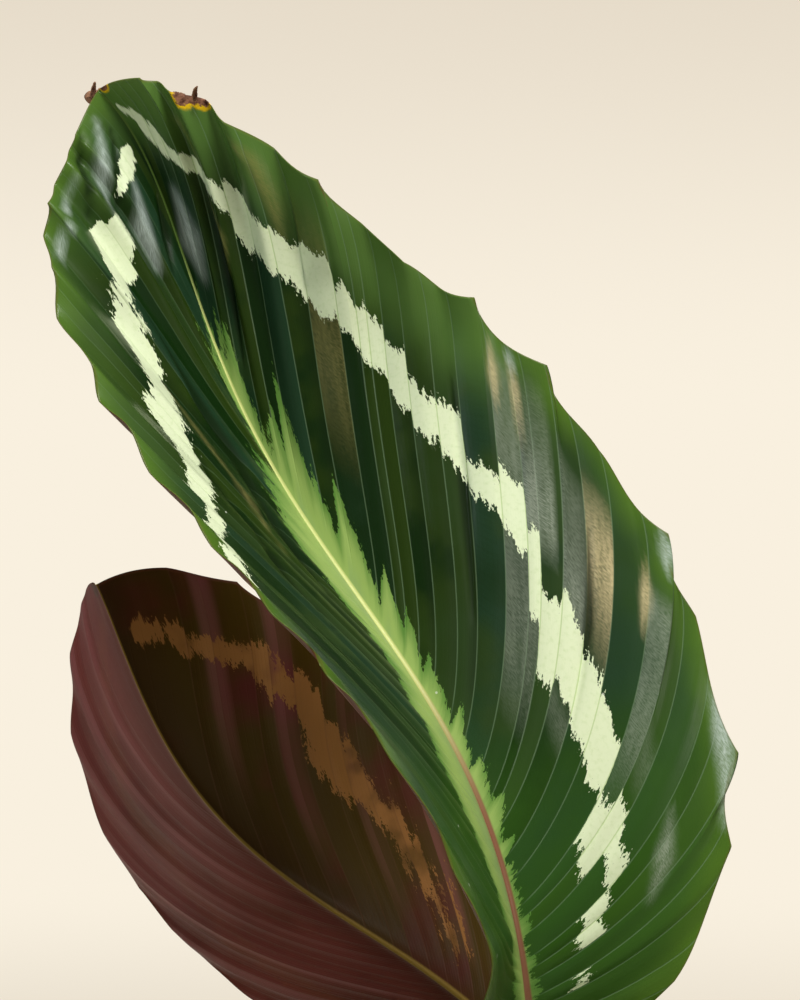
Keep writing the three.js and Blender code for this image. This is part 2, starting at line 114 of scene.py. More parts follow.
class Wiring:
    """Adds and links the nodes of a shader or geometry tree."""

    def __init__(self, tree: Tree) -> None:
        """Keeps the tree that the nodes go into."""
        self.tree = tree

    def feed(self, socket: Socket, value: Feed) -> None:
        """Links a socket to another, or sets its value."""
        if isinstance(value, Socket):
            self.tree.links.new(value, socket)
        elif value is not None:
            socket.default_value = value

    def node(self, kind: str, inputs: Optional[dict[str, Feed]] = None, **settings: object) -> bpy.types.Node:
        """Adds a node.

        Args:
            kind: The node's type name.
            inputs: Values or sockets for its named inputs.
            **settings: Properties of the node.

        Returns:
            The new node.
        """
        made = self.tree.nodes.new(kind)
        for key, value in settings.items():
            setattr(made, key, value)
        for key, value in (inputs or {}).items():
            self.feed(made.inputs[key], value)
        return made

    def math(self, operation: str, a: Feed, b: Feed = None, c: Feed = None, clamp: bool = False) -> Socket:
        """Result of a Math node."""
        made = self.node("ShaderNodeMath", operation=operation, use_clamp=clamp)
        for socket, value in zip(made.inputs, (a, b, c)):
            self.feed(socket, value)
        return made.outputs[0]

    def plus(self, a: Feed, b: Feed) -> Socket:
        """Sum of two values."""
        return self.math("ADD", a, b)

    def minus(self, a: Feed, b: Feed, clamp: bool = False) -> Socket:
        """First value less the second."""
        return self.math("SUBTRACT", a, b, clamp=clamp)

    def times(self, *factors: Feed) -> Socket:
        """Product of two or more values."""
        product = factors[0]
        for factor in factors[1:]:
            product = self.math("MULTIPLY", product, factor)
        return product

    def times_plus(self, a: Feed, b: Feed, c: Feed) -> Socket:
        """Product of the first two values plus the third."""
        return self.math("MULTIPLY_ADD", a, b, c)

    def length(self, x: Feed, y: Feed) -> Socket:
        """Distance from the origin to a point of the plane."""
        return self.math("SQRT", self.plus(self.times(x, x), self.times(y, y)))

    def vector(self, operation: str, a: Feed, b: Feed = None, scale: Feed = None) -> Socket:
        """Result of a Vector Math node.

        Args:
            operation: What it does.
            a: First vector.
            b: Second vector.
            scale: Factor, where it scales.

        Returns:
            The vector.
        """
        made = self.node("ShaderNodeVectorMath", operation=operation)
        self.feed(made.inputs[0], a)
        self.feed(made.inputs[1], b)
        if scale is not None:
            self.feed(made.inputs[3], scale)
        return made.outputs[0]

    def smooth(self, value: Feed, low: Feed, high: Feed, start: Feed = 0.0, end: Feed = 1.0) -> Socket:
        """Smooth step of a value from start at low to end at high.

        Args:
            value: What is stepped.
            low: Where the step begins.
            high: Where it ends.
            start: Result below.
            end: Result above.

        Returns:
            The stepped value.
        """
        made = self.node("ShaderNodeMapRange", interpolation_type="SMOOTHSTEP")
        names = ("Value", "From Min", "From Max", "To Min", "To Max")
        for name, given in zip(names, (value, low, high, start, end)):
            self.feed(made.inputs[name], given)
        return made.outputs["Result"]

    def noise(self, vector: Feed, scale: Feed, detail: float = 2.0, rough: float = 0.5) -> Socket:
        """Noise between 0 and 1 at a vector."""
        inputs = {"Vector": vector, "Scale": scale, "Detail": detail, "Roughness": rough}
        return self.node("ShaderNodeTexNoise", inputs).outputs["Fac"]

    def white(self, value: Feed) -> Socket:
        """One random value for each whole number."""
        made = self.node("ShaderNodeTexWhiteNoise", noise_dimensions="1D")
        self.feed(made.inputs["W"], value)
        return made.outputs["Value"]

    def mix(self, share: Feed, a: Feed, b: Feed) -> Socket:
        """Two colours mixed.

        Args:
            share: Share of the second colour.
            a: First colour.
            b: Second colour.

        Returns:
            The colour.
        """
        made = self.node("ShaderNodeMix", data_type="RGBA")
        self.feed(made.inputs[0], share)
        self.feed(made.inputs[6], a)
        self.feed(made.inputs[7], b)
        return made.outputs[2]

    def join(self, x: Feed, y: Feed, z: Feed = 0.0) -> Socket:
        """Vector of three values."""
        made = self.node("ShaderNodeCombineXYZ")
        for socket, value in zip(made.inputs, (x, y, z)):
            self.feed(socket, value)
        return made.outputs[0]

    def split(self, vector: Feed) -> tuple[Socket, Socket, Socket]:
        """The three values of a vector."""
        made = self.node("ShaderNodeSeparateXYZ")
        self.feed(made.inputs[0], vector)
        return made.outputs[0], made.outputs[1], made.outputs[2]

    def group(self, tree: Tree, inputs: dict[str, Feed]) -> Sequence[Socket]:
        """Outputs of a shader node group that gets its own values."""
        return self.node("ShaderNodeGroup", inputs, node_tree=tree).outputs

    def store(self, geometry: Socket, name: str, value: Feed, domain: str = "POINT") -> Socket:
        """Geometry with one number stored on each of its elements."""
        inputs = {"Geometry": geometry, "Name": name, "Value": value}
        made = self.node("GeometryNodeStoreNamedAttribute", inputs, data_type="FLOAT", domain=domain)
        return made.outputs[0]

    def random(self, low: Feed, high: Feed, seed: Feed) -> Socket:
        """A random number for each element."""
        made = self.node("FunctionNodeRandomValue", {"Seed": seed}, data_type="FLOAT")
        self.feed(made.inputs[2], low)
        self.feed(made.inputs[3], high)
        return made.outputs[1]


def end_tree(w: Wiring, out: Socket, geometry: Socket, finish: Socket) -> Tree:
    """Ends a geometry tree: its instances are realized and all of it takes one finish.

    Args:
        w: Wiring of the tree.
        out: Inputs of its output node.
        geometry: What the tree has made.
        finish: Its material.

    Returns:
        The tree.
    """
    whole = w.node("GeometryNodeRealizeInstances", {"Geometry": geometry})
    dressed = w.node("GeometryNodeSetMaterial", {"Geometry": whole.outputs[0], "Material": finish})
    w.feed(out["Geometry"], dressed.outputs[0])
    return w.tree


SOCKET_KINDS = {"float": "NodeSocketFloat", "vector": "NodeSocketVector", "int": "NodeSocketInt",
                "geometry": "NodeSocketGeometry", "material": "NodeSocketMaterial",
                "object": "NodeSocketObject"}


def new_group(name: str, kind: str, inputs: dict[str, str],
              outputs: dict[str, str]) -> tuple[Wiring, Socket, Socket]:
    """A node group with named sockets.

    Args:
        name: Name of the group.
        kind: Type name of the tree.
        inputs: Input names and their kinds, as in SOCKET_KINDS.
        outputs: Output names and their kinds.

    Returns:
        Wiring of the group, the outputs of its input node and the inputs of its output node.
    """
    tree = bpy.data.node_groups.new(name, kind)
    for sockets, way in ((inputs, "INPUT"), (outputs, "OUTPUT")):
        for label, socket_kind in sockets.items():
            tree.interface.new_socket(label, in_out=way, socket_type=SOCKET_KINDS[socket_kind])
    wiring = Wiring(tree)
    return wiring, wiring.node("NodeGroupInput").outputs, wiring.node("NodeGroupOutput").inputs


# ---- mesh helpers
def link(name: str, data: bpy.types.ID) -> Object:
    """A new object in the scene."""
    made = bpy.data.objects.new(name, data)
    bpy.context.scene.collection.objects.link(made)
    return made


def mesh_from(name: str, points: Array, faces: Sequence[Sequence[int]]) -> bpy.types.Mesh:
    """A smooth-shaded mesh.

    Args:
        name: Name of the mesh.
        points: Points in millimetres.
        faces: Point numbers of each face.

    Returns:
        The mesh, in metres.
    """
    mesh = bpy.data.meshes.new(name)
    mesh.from_pydata((np.asarray(points, float) * MM).tolist(), [], faces)
    mesh.shade_smooth()
    return mesh


def put(mesh: bpy.types.Mesh, name: str, values: Array, domain: str = "POINT") -> None:
    """Stores one number or one vector for each element of a mesh.

    Args:
        mesh: The mesh.
        name: Name of the attribute.
        values: One number or one vector for each element.
        domain: Kind of element.
    """
    values = np.asarray(values, np.float32)
    is_vector = values.ndim == 2
    layer = mesh.attributes.new(name, "FLOAT_VECTOR" if is_vector else "FLOAT", domain)
    layer.data.foreach_set("vector" if is_vector else "value", values.ravel())


def nodes_modifier(owner: Object, tree: Tree, values: dict[str, object]) -> None:
    """Adds a Geometry Nodes modifier and sets its named inputs.

    Args:
        owner: The plain mesh or curve.
        tree: The geometry tree.
        values: Values by the names of the tree's inputs.
    """
    modifier = owner.modifiers.new(tree.name, "NODES")
    modifier.node_group = tree
    for item in tree.interface.items_tree:
        if item.item_type == "SOCKET" and item.in_out == "INPUT" and item.name in values:
            modifier[item.identifier] = values[item.name]


def applied(owner: Object) -> Object:
    """Turns an object with its modifiers into a plain mesh object of the same name.

    Args:
        owner: The object, which is removed.

    Returns:
        The plain object.
    """
    bpy.context.view_layer.update()
    graph = bpy.context.evaluated_depsgraph_get()
    mesh = bpy.data.meshes.new_from_object(owner.evaluated_get(graph), depsgraph=graph)
    name = owner.name
    bpy.data.objects.remove(owner)
    mesh.name = name
    return link(name, mesh)


def sheet_faces(rows: int, columns: int) -> list[tuple[int, int, int, int]]:
    """Faces of a sheet whose points run along its columns, row by row."""
    return [(i * columns + j, i * columns + j + 1, (i + 1) * columns + j + 1, (i + 1) * columns + j)
            for i in range(rows - 1) for j in range(columns - 1)]


def disc(radii: Sequence[float], turns: int) -> tuple[Array, list[tuple[int, ...]]]:
    """Flat disc of rings about the origin.

    Args:
        radii: Radius of each ring.
        turns: Points on each ring.

    Returns:
        Points and upward faces.
    """
    angles = 2 * math.pi * np.arange(turns) / turns
    points, faces = [(0.0, 0.0, 0.0)], []
    for radius in radii:
        points.extend((radius * math.cos(angle), radius * math.sin(angle), 0.0) for angle in angles)
    for j in range(turns):
        after = (j + 1) % turns
        faces.append((0, 1 + j, 1 + after))
        for first in range(1, 1 + (len(radii) - 1) * turns, turns):
            faces.append((first + j, first + turns + j, first + turns + after, first + after))
    return np.array(points), faces


def thicken(owner: Object, wall: float) -> None:
    """Gives a sheet a wall, half to each side."""
    modifier = owner.modifiers.new("wall", "SOLIDIFY")
    modifier.thickness = wall * MM
    modifier.offset = 0


def skin_from(name: str, points: Array, faces: Sequence[Sequence[int]], finish: Material) -> Object:
    """A mesh object of one finish, from points in millimetres."""
    made = link(name, mesh_from(name, points, faces))
    made.data.materials.append(finish)
    return made


def seat(piece: Object, slot: str, *nodes: str) -> Object:
    """Fixes a finished piece to the plant.

    Args:
        piece: The finished object.
        slot: Not used.
        *nodes: Nodes of the drawing that it stands for.

    Returns:
        The same object.
    """
    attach(piece, "root")
    if nodes:
        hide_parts(*nodes)
    log.info("%s: %d faces", piece.name, len(piece.data.polygons))
    return piece


# ---- shared shader groups, each built when it is first asked for
@cache
def vein_lines_tree() -> Tree:
    """Mask of the thin side veins: a set number of them to each strip."""
    inputs = {"Phase": "float", "Pitch": "float", "Lines": "float", "Width": "float"}
    w, given, out = new_group("side_vein_lines", "ShaderNodeTree", inputs, {"Mask": "float"})
    place = w.times_plus(given["Phase"], given["Lines"], 0.5)
    away = w.math("ABSOLUTE", w.minus(w.math("FRACT", place), 0.5))
    distance = w.times(w.math("DIVIDE", away, given["Lines"]), given["Pitch"])
    w.feed(out["Mask"], w.smooth(distance, w.times(given["Width"], 0.3), given["Width"], 1.0, 0.0))
    return w.tree


@cache
def ring_band_tree() -> Tree:
    """Mask of the jagged band that rings the leaf: it steps at each side vein and frays along the veins."""
    inputs = {"Vein": "vector", "Ring": "float", "Phase": "float", "Fray": "float"}
    w, given, out = new_group("ring_band", "ShaderNodeTree", inputs, {"Mask": "float"})
    across, along, seed = w.split(given["Vein"])
    strip = w.math("FLOOR", given["Phase"])
    total = w.times(w.minus(w.white(w.plus(strip, seed)), 0.5), 1.3)
    for across_scale, along_scale, detail, weight in ((0.3, 0.08, 1.0, 2.0), (0.9, 0.14, 3.0, 3.0),
                                                      (2.4, 1.2, 3.0, 2.5)):
        spot = w.join(w.times(across, across_scale), w.times(along, along_scale), seed)
        value = w.minus(w.noise(spot, 1.0, detail, 0.62), 0.5)
        total = w.times_plus(value, weight, total)
    inside = w.minus(w.times(total, given["Fray"]), given["Ring"])
    w.feed(out["Mask"], w.smooth(inside, -0.16, 0.16))
    return w.tree


@cache
def specks_tree() -> Tree:
    """Mask of small scattered specks, such as dust or grit."""
    inputs = {"Coordinates": "vector", "Scale": "float", "Size": "float", "Share": "float"}
    w, given, out = new_group("specks", "ShaderNodeTree", inputs, {"Mask": "float"})
    cells = w.node("ShaderNodeTexVoronoi", {"Vector": given["Coordinates"], "Scale": given["Scale"]})
    chosen = w.math("LESS_THAN", w.split(cells.outputs["Color"])[0], given["Share"])
    dot = w.smooth(cells.outputs["Distance"], w.times(given["Size"], 0.5), given["Size"], 1.0, 0.0)
    w.feed(out["Mask"], w.times(dot, chosen))
    return w.tree


@cache
def mottle_tree() -> Tree:
    """Blotches at three sizes, as one value about 0.5, and a fine grain for bumps."""
    inputs = {"Coordinates": "vector", "Scale": "float", "Grain Scale": "float"}
    w, given, out = new_group("mottle", "ShaderNodeTree", inputs, {"Blotch": "float", "Grain": "float"})
    large = w.noise(given["Coordinates"], given["Scale"], 3.0)
    small = w.noise(given["Coordinates"], w.times(given["Scale"], 5.0), 4.0, 0.65)
    w.feed(out["Blotch"], w.times_plus(large, 0.6, w.times(small, 0.4)))
    w.feed(out["Grain"], w.noise(given["Coordinates"], given["Grain Scale"], 5.0, 0.7))
    return w.tree


# ---- finishes
class Finish:
    """A material under construction: its wiring, its shader and the object's own coordinates."""

    def __init__(self, name: str, roughness: float = 0.5, specular: float = 0.5) -> None:
        """Makes the material with its shader's plain numbers.

        Args:
            name: Name of the material.
            roughness: Plain roughness of the shader.
            specular: Plain specular level of the shader.
        """
        self.material = bpy.data.materials.new(name)
        self.material.use_nodes = True
        self.wiring = Wiring(self.material.node_tree)
        self.shader = self.material.node_tree.nodes["Principled BSDF"]
        self.shader.inputs["Roughness"].default_value = roughness
        self.shader.inputs["Specular IOR Level"].default_value = specular

    def coordinates(self) -> Socket:
        """Object coordinates, in metres."""
        return self.wiring.node("ShaderNodeTexCoord").outputs["Object"]

    def value(self, name: str) -> Socket:
        """A number stored in the piece's own mesh."""
        return self.wiring.node("ShaderNodeAttribute", attribute_name=name).outputs["Fac"]

    def vector(self, name: str) -> Socket:
        """Three numbers stored in the piece's own mesh."""
        return self.wiring.node("ShaderNodeAttribute", attribute_name=name).outputs["Vector"]

    def wear(self, colour: Feed, roughness: Feed = None, height: Feed = None,
             strength: float = 0.5, depth: float = 0.2) -> Material:
        """Feeds the shader.

        Args:
            colour: Base colour.
            roughness: Roughness that changes over the surface.
            height: Height of the bumps, from 0 to 1.
            strength: Strength of the bumps.
            depth: Depth of the bumps in millimetres.

        Returns:
            The finished material.
        """
        self.wiring.feed(self.shader.inputs["Base Color"], colour)
        self.wiring.feed(self.shader.inputs["Roughness"], roughness)
        if height is not None:
            bump = self.wiring.node("ShaderNodeBump", {"Height": height, "Strength": strength,
                                                       "Distance": depth * MM})
            self.wiring.feed(self.shader.inputs["Normal"], bump.outputs["Normal"])
        return self.material


class LeafFinish(Finish):
    """One face of the leaves under construction, with what the blade's own mesh says at each point."""

    def __init__(self, name: str, specular: float) -> None:
        """Reads the blade's attributes.

        Args:
            name: Name of the material.
            specular: Plain specular level of the shader.
        """
        super().__init__(name, specular=specular)
        w = self.wiring
        self.vein = self.vector("vein_mm")
        self.across, self.along, self.seed = w.split(self.vein)
        self.ring, self.rib, self.edge = w.split(self.vector("marks"))
        self.place, self.pitch, self.along_leaf = w.split(self.vector("strips"))
        self.flat = self.vector("leaf_mm")
        self.strip = w.math("FLOOR", self.place)
        fray = w.times(w.minus(w.noise(self.flat, 0.9, 4.0, 0.7), 0.5), 0.9)
        self.ragged = w.plus(self.value("dry"), fray)

    def lines(self, count: float, width: float) -> Socket:
        """Mask of a number of thin side veins in each strip, each of a width."""
        inputs = {"Phase": self.place, "Pitch": self.pitch, "Lines": count, "Width": width}
        return self.wiring.group(vein_lines_tree(), inputs)[0]

    def band(self, edge: Feed, fray: Feed) -> Socket:
        """Mask of what lies inside a jagged edge, given as a distance that is negative inside."""
        inputs = {"Vein": self.vein, "Ring": edge, "Phase": self.place, "Fray": fray}
        return self.wiring.group(ring_band_tree(), inputs)[0]

    def midrib(self, base: float, tip: float, core: float) -> Socket:
        """Mask of the midrib.

        Args:
            base: Half width at the base.
            tip: Half width at the tip.
            core: Share of the half width that has the full colour.

        Returns:
            The mask.
        """
        width = self.wiring.smooth(self.along_leaf, 0.0, 0.95, base, tip)
        return self.wiring.smooth(self.wiring.math("DIVIDE", self.rib, width), core, 1.0, 1.0, 0.0)


@dataclass(frozen=True)
class UpperLeaf:
    """Upper face: dark green pleats, a pale jagged ring, a feathered flare along the midrib, painted sheens
    and shade.
    """

    deep: Colour = srgb(14, 38, 8)
    teal: Colour = srgb(28, 54, 34)
    olive: Colour = srgb(46, 64, 14)
    bright: Colour = srgb(50, 88, 22)
    margin: Colour = srgb(72, 104, 26)
    # Painted light on the outer part of the upper right half.
    outer: Colour = srgb(84, 118, 54)
    ring: Colour = srgb(212, 224, 190)
    ring_vein: Colour = srgb(164, 192, 122)
    flare: Colour = srgb(142, 168, 92)
    flare_tip: Colour = srgb(84, 126, 54)
    flare_cool: Colour = srgb(128, 154, 98)
    midrib: Colour = srgb(196, 204, 132)
    midrib_red: Colour = srgb(112, 50, 48)
    vein: Colour = srgb(104, 130, 98)
    edge_line: Colour = srgb(92, 92, 36)
    # Painted sheens: colours of reflections laid into the green.
    warm_sheen: Colour = srgb(206, 190, 146)
    cool_sheen: Colour = srgb(150, 160, 144)
    sky_sheen: Colour = srgb(196, 210, 206)
    # Painted shade in the folds.
    crease_shade: Colour = srgb(14, 30, 8)
    # Painted highlight along fold ridges.
    ridge: Colour = srgb(134, 128, 76)
    halo: Colour = srgb(214, 176, 10)
    dried: Colour = srgb(140, 98, 76)
    scorched: Colour = srgb(70, 40, 28)
    dust: Colour = srgb(220, 226, 214)
    ring_fray: float = 2.4
    flare_fray: float = 1.5

    def greens(self, leaf: LeafFinish, cloud: Socket, strip_tone: Socket) -> Socket:
        """Greens of the strips, brighter at the base and along the margin, with painted shade beside some
        veins and painted light on the upper right outer part.

        Args:
            leaf: The face under construction.
            cloud: Broad noise.
            strip_tone: One random value for each strip.

        Returns:
            The colour.
        """
        w = leaf.wiring
        drift = w.minus(cloud, 0.5)
        green = w.mix(w.smooth(w.plus(strip_tone, drift), 0.3, 0.8), self.deep, self.teal)
        other_tone = w.plus(w.white(w.plus(leaf.strip, 57.0)), drift)
        green = w.mix(w.smooth(other_tone, 0.55, 0.75, 0.0, 0.5), green, self.olive)
        # Painted shade: in some strips the green darkens beside one vein, where the fold lies in shade.
        folded = w.smooth(w.white(w.plus(leaf.strip, 13.0)), 0.4, 0.7)
        folded = w.times(folded, w.smooth(w.math("FRACT", leaf.place), 0.0, 0.7, 0.55, 0.0))
        green = w.mix(w.times(folded, w.smooth(leaf.rib, 2.0, 10.0)), green, self.crease_shade)
        near_base = w.plus(leaf.along_leaf, w.times(drift, 0.2))
        green = w.mix(w.smooth(near_base, 0.12, 0.36, 0.65, 0.0), green, self.bright)
        # The lighter margin is partly the leaf's own green and partly painted light shining through the thin
        # edge.
        rim = w.plus(leaf.edge, w.times(drift, 6.0))
        green = w.mix(w.smooth(rim, -1.5, 6.5, 0.95, 0.0), green, self.margin)
        # Painted light: the outer part of the upper right half is lighter, where light falls on it.
        on_right = w.smooth(leaf.across, -10.0, 0.0, 0.4, 1.0)
        upper_half = w.smooth(leaf.along_leaf, 0.45, 0.65, 0.15, 0.8)
        painted_light_band = w.times(w.smooth(rim, 4.0, 17.0, 1.0, 0.0), upper_half, on_right)
        return w.mix(painted_light_band, green, self.outer)

    def flare_over(self, leaf: LeafFinish, green: Socket, comb: Socket) -> Socket:
        """Lays the feathered flare beside the midrib over a colour.

        Args:
            leaf: The face under construction.
            green: The colour below.
            comb: Noise drawn out along the veins, about 0.

        Returns:
            The colour.
        """
        w = leaf.wiring
        reach = leaf.value("flare")
        left = w.times_plus(comb, 5.0, reach)
        colour = w.mix(w.smooth(left, -1.0, 4.0), self.flare_tip, self.flare)
        colour = w.mix(w.smooth(left, 4.0, 9.0, 0.0, 0.8), colour, self.flare_cool)
        return w.mix(leaf.band(w.times(reach, -1.0), self.flare_fray), green, colour)

    def midrib_over(self, leaf: LeafFinish, green: Socket) -> Socket:
        """Lays the pale midrib, reddened near its base, and the thin edge line over a colour.

        Args:
            leaf: The face under construction.
            green: The colour below.

        Returns:
            The colour.
        """
        w = leaf.wiring
        red = w.smooth(leaf.along_leaf, 0.2, 0.42, 0.9, 0.0)
        red = w.times(red, w.smooth(leaf.along_leaf, 0.0, 0.05))
        colour = w.mix(red, self.midrib, self.midrib_red)
        colour = w.mix(w.smooth(leaf.along_leaf, 0.72, 0.84, 0.0, 0.9), colour, self.bright)
        green = w.mix(leaf.midrib(1.1, 0.3, 0.55), green, colour)
        return w.mix(w.smooth(leaf.edge, 0.08, 0.35, 0.5, 0.0), green, self.edge_line)

    def dried_over(self, leaf: LeafFinish, green: Socket, grain: Socket) -> Socket:
        """Lays the yellow halo, the dried spots and a little dust over a colour.

        Args:
            leaf: The face under construction.
            green: The colour below.
            grain: Fine noise.

        Returns:
            The colour.
        """
        w = leaf.wiring
        green = w.mix(w.smooth(leaf.ragged, 1.15, 1.7, 0.95, 0.0), green, self.halo)
        burnt = w.mix(w.smooth(grain, 0.35, 0.65), self.dried, self.scorched)
        green = w.mix(w.smooth(leaf.ragged, 0.95, 1.12, 1.0, 0.0), green, burnt)
        inputs = {"Coordinates": leaf.flat, "Scale": 0.22, "Size": 0.07, "Share": 0.14}
        dust = w.group(specks_tree(), inputs)[0]
        return w.mix(w.times(dust, 0.5), green, self.dust)

    def material(self) -> Material:
        """Builds the material from the blade's own attributes."""
        leaf = LeafFinish("leaf_upper_face", 0.15)
        w = leaf.wiring
        cloud = w.noise(leaf.flat, 0.06, 3.0)
        grain = w.noise(leaf.flat, 1.1, 3.0, 0.6)
        strip_tone = w.white(w.plus(leaf.strip, w.times(leaf.seed, 7.0)))
        comb_at = w.join(w.times(leaf.across, 0.55), w.times(leaf.along, 0.06), leaf.seed)
        comb = w.minus(w.noise(comb_at, 1.0, 3.0, 0.65), 0.5)
        wrinkle_at = w.join(w.times(leaf.across, 1.3), w.times(leaf.along, 4.2), leaf.seed)
        wrinkle = w.noise(wrinkle_at, 1.0, 3.0, 0.6)
        fine_lines = leaf.lines(5.0, 0.12)
        on_right = w.smooth(leaf.across, -10.0, 0.0, 0.35, 1.0)
        vein_lines = w.times(leaf.lines(1.0, 0.17), w.smooth(leaf.rib, 1.0, 5.0), on_right)

        green = self.greens(leaf, cloud, strip_tone)
        green = w.mix(w.times(vein_lines, 0.42), green, self.vein)
        green = self.flare_over(leaf, green, comb)
        warm, cool, crease_shade = w.split(leaf.vector("streaks"))
        sky, ridge_highlight, dark = w.split(leaf.vector("lines"))
        crinkle = w.smooth(w.times_plus(comb, 0.5, wrinkle), 0.3, 0.68, 0.3, 1.0)
        # Painted reflections: the sheens and the ridge highlight are laid into the colour, broken by the
        # crinkles.
        for near, tint, share in ((cool, self.cool_sheen, 0.75), (warm, self.warm_sheen, 0.9),
                                  (sky, self.sky_sheen, 0.8), (ridge_highlight, self.ridge, 0.6)):
            green = w.mix(w.times(near, crinkle, share), green, tint)
        # Painted shade: the green darkens along the marked folds.
        hollow = w.math("MAXIMUM", crease_shade, dark)
        green = w.mix(w.smooth(hollow, 0.0, 0.8, 0.0, 0.8), green, self.crease_shade)

        fray = w.smooth(leaf.along_leaf, 0.75, 0.92, self.ring_fray, self.ring_fray * 0.4)
        pale = w.mix(w.times(vein_lines, 0.6), self.ring, self.ring_vein)
        pale = w.mix(w.smooth(grain, 0.45, 0.85, 0.0, 0.35), pale, self.ring_vein)
        green = w.mix(leaf.band(leaf.ring, fray), green, pale)
        green = self.dried_over(leaf, self.midrib_over(leaf, green), grain)

        roughness = w.plus(w.times(grain, 0.08), w.times_plus(strip_tone, 0.08, 0.25))
        roughness = w.plus(roughness, w.smooth(leaf.ragged, 0.9, 1.2, 0.35, 0.0))
        middle = w.times_plus(w.math("FRACT", leaf.place), 2.0, -1.0)
        swell = w.minus(w.white(w.plus(leaf.strip, w.plus(leaf.seed, 91.0))), 0.35)
        swell = w.times(swell, w.times(w.smooth(cloud, 0.3, 0.7), w.smooth(leaf.rib, 3.0, 14.0)))
        height = w.times(swell, w.times_plus(w.times(middle, middle), -2.6, 2.6))
        gloss = w.times_plus(w.plus(warm, cool), 0.4, 0.12)
        height = w.plus(height, w.times_plus(wrinkle, gloss, w.times(grain, 0.1)))
        height = w.minus(height, w.times(vein_lines, 0.5))
        height = w.minus(height, w.times(fine_lines, 0.08))
        return leaf.wear(green, roughness, height, depth=0.14)


@dataclass(frozen=True)
class UnderLeaf:
    """Lower face: maroon satin, painted mauve ridge highlights, the ring showing through as a warm brown
    band.
    """

    maroon: Colour = srgb(76, 30, 22)
    mauve: Colour = srgb(132, 60, 62)
    # Painted highlight along chosen ridges.
    ridge: Colour = srgb(158, 96, 100)
    # Painted light: olive where light shines through the blade.
    olive: Colour = srgb(66, 50, 6)
    dark: Colour = srgb(48, 20, 10)
    earthy: Colour = srgb(46, 28, 6)
    ring: Colour = srgb(150, 104, 56)
    midrib: Colour = srgb(130, 106, 46)
    vein: Colour = srgb(100, 66, 50)
    edge_line: Colour = srgb(100, 58, 42)
    scorched: Colour = srgb(70, 42, 30)
    down: Colour = srgb(214, 120, 130)

    def material(self) -> Material:
        """Builds the material from the blade's own attributes."""
        leaf = LeafFinish("leaf_under_face", 0.14)
        w = leaf.wiring
        phase = leaf.value("pleat")
        cloud = w.noise(leaf.flat, 0.045, 3.0)
        grain = w.noise(leaf.flat, 1.3, 3.0, 0.6)
        strip_tone = w.white(w.plus(leaf.strip, leaf.seed))
        shaded = w.smooth(leaf.across, -6.0, 6.0, 1.0, 0.0)

        rosy = w.smooth(w.times_plus(leaf.along_leaf, 0.3, cloud), 0.4, 0.8, 0.1, 0.65)
        skin = w.mix(rosy, self.maroon, self.mauve)
        skin = w.mix(w.times(shaded, 0.8), skin, self.maroon)
        skin = w.mix(w.smooth(w.plus(leaf.along_leaf, shaded), 0.15, 0.5, 0.8, 0.0), skin, self.earthy)
        # Painted light: olive patches where light shining through the blade shows on this face.
        shine_through = w.smooth(w.times_plus(strip_tone, 0.25, cloud), 0.4, 0.7)
        skin = w.mix(w.times(shine_through, w.times_plus(shaded, 0.85, 0.15)), skin, self.olive)
        # Painted highlight: mauve glints along chosen pleat ridges.
        wave = w.math("COSINE", w.times(phase, 2 * math.pi))
        ridge = w.smooth(w.times(wave, -1.0), 0.1, 1.0)
        draw = w.white(w.plus(w.math("ROUND", phase), w.plus(leaf.seed, 4.0)))
        chosen = w.smooth(draw, 0.3, 0.6, 0.15, 1.0)
        ridge = w.times(ridge, chosen, w.smooth(leaf.rib, 4.0, 16.0))
        skin = w.mix(w.times(ridge, 0.35), skin, self.ridge)
        skin = w.mix(w.smooth(leaf.rib, 1.0, 11.0, 0.4, 0.0), skin, self.dark)

        breaks = w.times_plus(w.noise(leaf.flat, 0.14, 2.0), 1.0, w.times(strip_tone, 0.5))
        seen = w.times(leaf.band(leaf.ring, 3.0), w.smooth(breaks, 0.4, 0.7, 0.35, 0.95))
        skin = w.mix(w.times(seen, w.times_plus(shaded, 0.92, 0.08)), skin, self.ring)
        vein_lines, fine_lines = leaf.lines(1.0, 0.26), leaf.lines(5.0, 0.14)
        skin = w.mix(w.times(vein_lines, 0.16), skin, self.vein)
        skin = w.mix(w.times(fine_lines, 0.05), skin, self.vein)
        skin = w.mix(leaf.midrib(1.25, 0.35, 0.5), skin, self.midrib)
        skin = w.mix(w.smooth(leaf.edge, 0.1, 0.7, 0.7, 0.0), skin, self.edge_line)
        skin = w.mix(w.smooth(leaf.ragged, 0.95, 1.3, 1.0, 0.0), skin, self.scorched)

        height = w.times_plus(vein_lines, 0.25, w.times(grain, 0.3))
        height = w.times_plus(fine_lines, 0.2, height)
        leaf.shader.inputs["Sheen Weight"].default_value = 0.08
        leaf.shader.inputs["Sheen Roughness"].default_value = 0.4
        leaf.shader.inputs["Sheen Tint"].default_value = self.down
        return leaf.wear(skin, w.times_plus(grain, 0.15, 0.34), height, depth=0.16)


@dataclass(frozen=True)
class DriedLeaf:
    """Dead leaf edge: brown, wrinkled and matte."""

    light: Colour = srgb(156, 116, 88)
    dark: Colour = srgb(74, 42, 30)

    def material(self) -> Material:
        """Builds the material on object coordinates."""
        finish = Finish("dried_leaf", specular=0.3)
        w = finish.wiring
        inputs = {"Coordinates": finish.coordinates(), "Scale": 420.0, "Grain Scale": 2600.0}
        blotch, grain = w.group(mottle_tree(), inputs)
        colour = w.mix(w.smooth(blotch, 0.38, 0.62), self.dark, self.light)
        return finish.wear(colour, 0.8, grain, strength=0.8, depth=0.15)


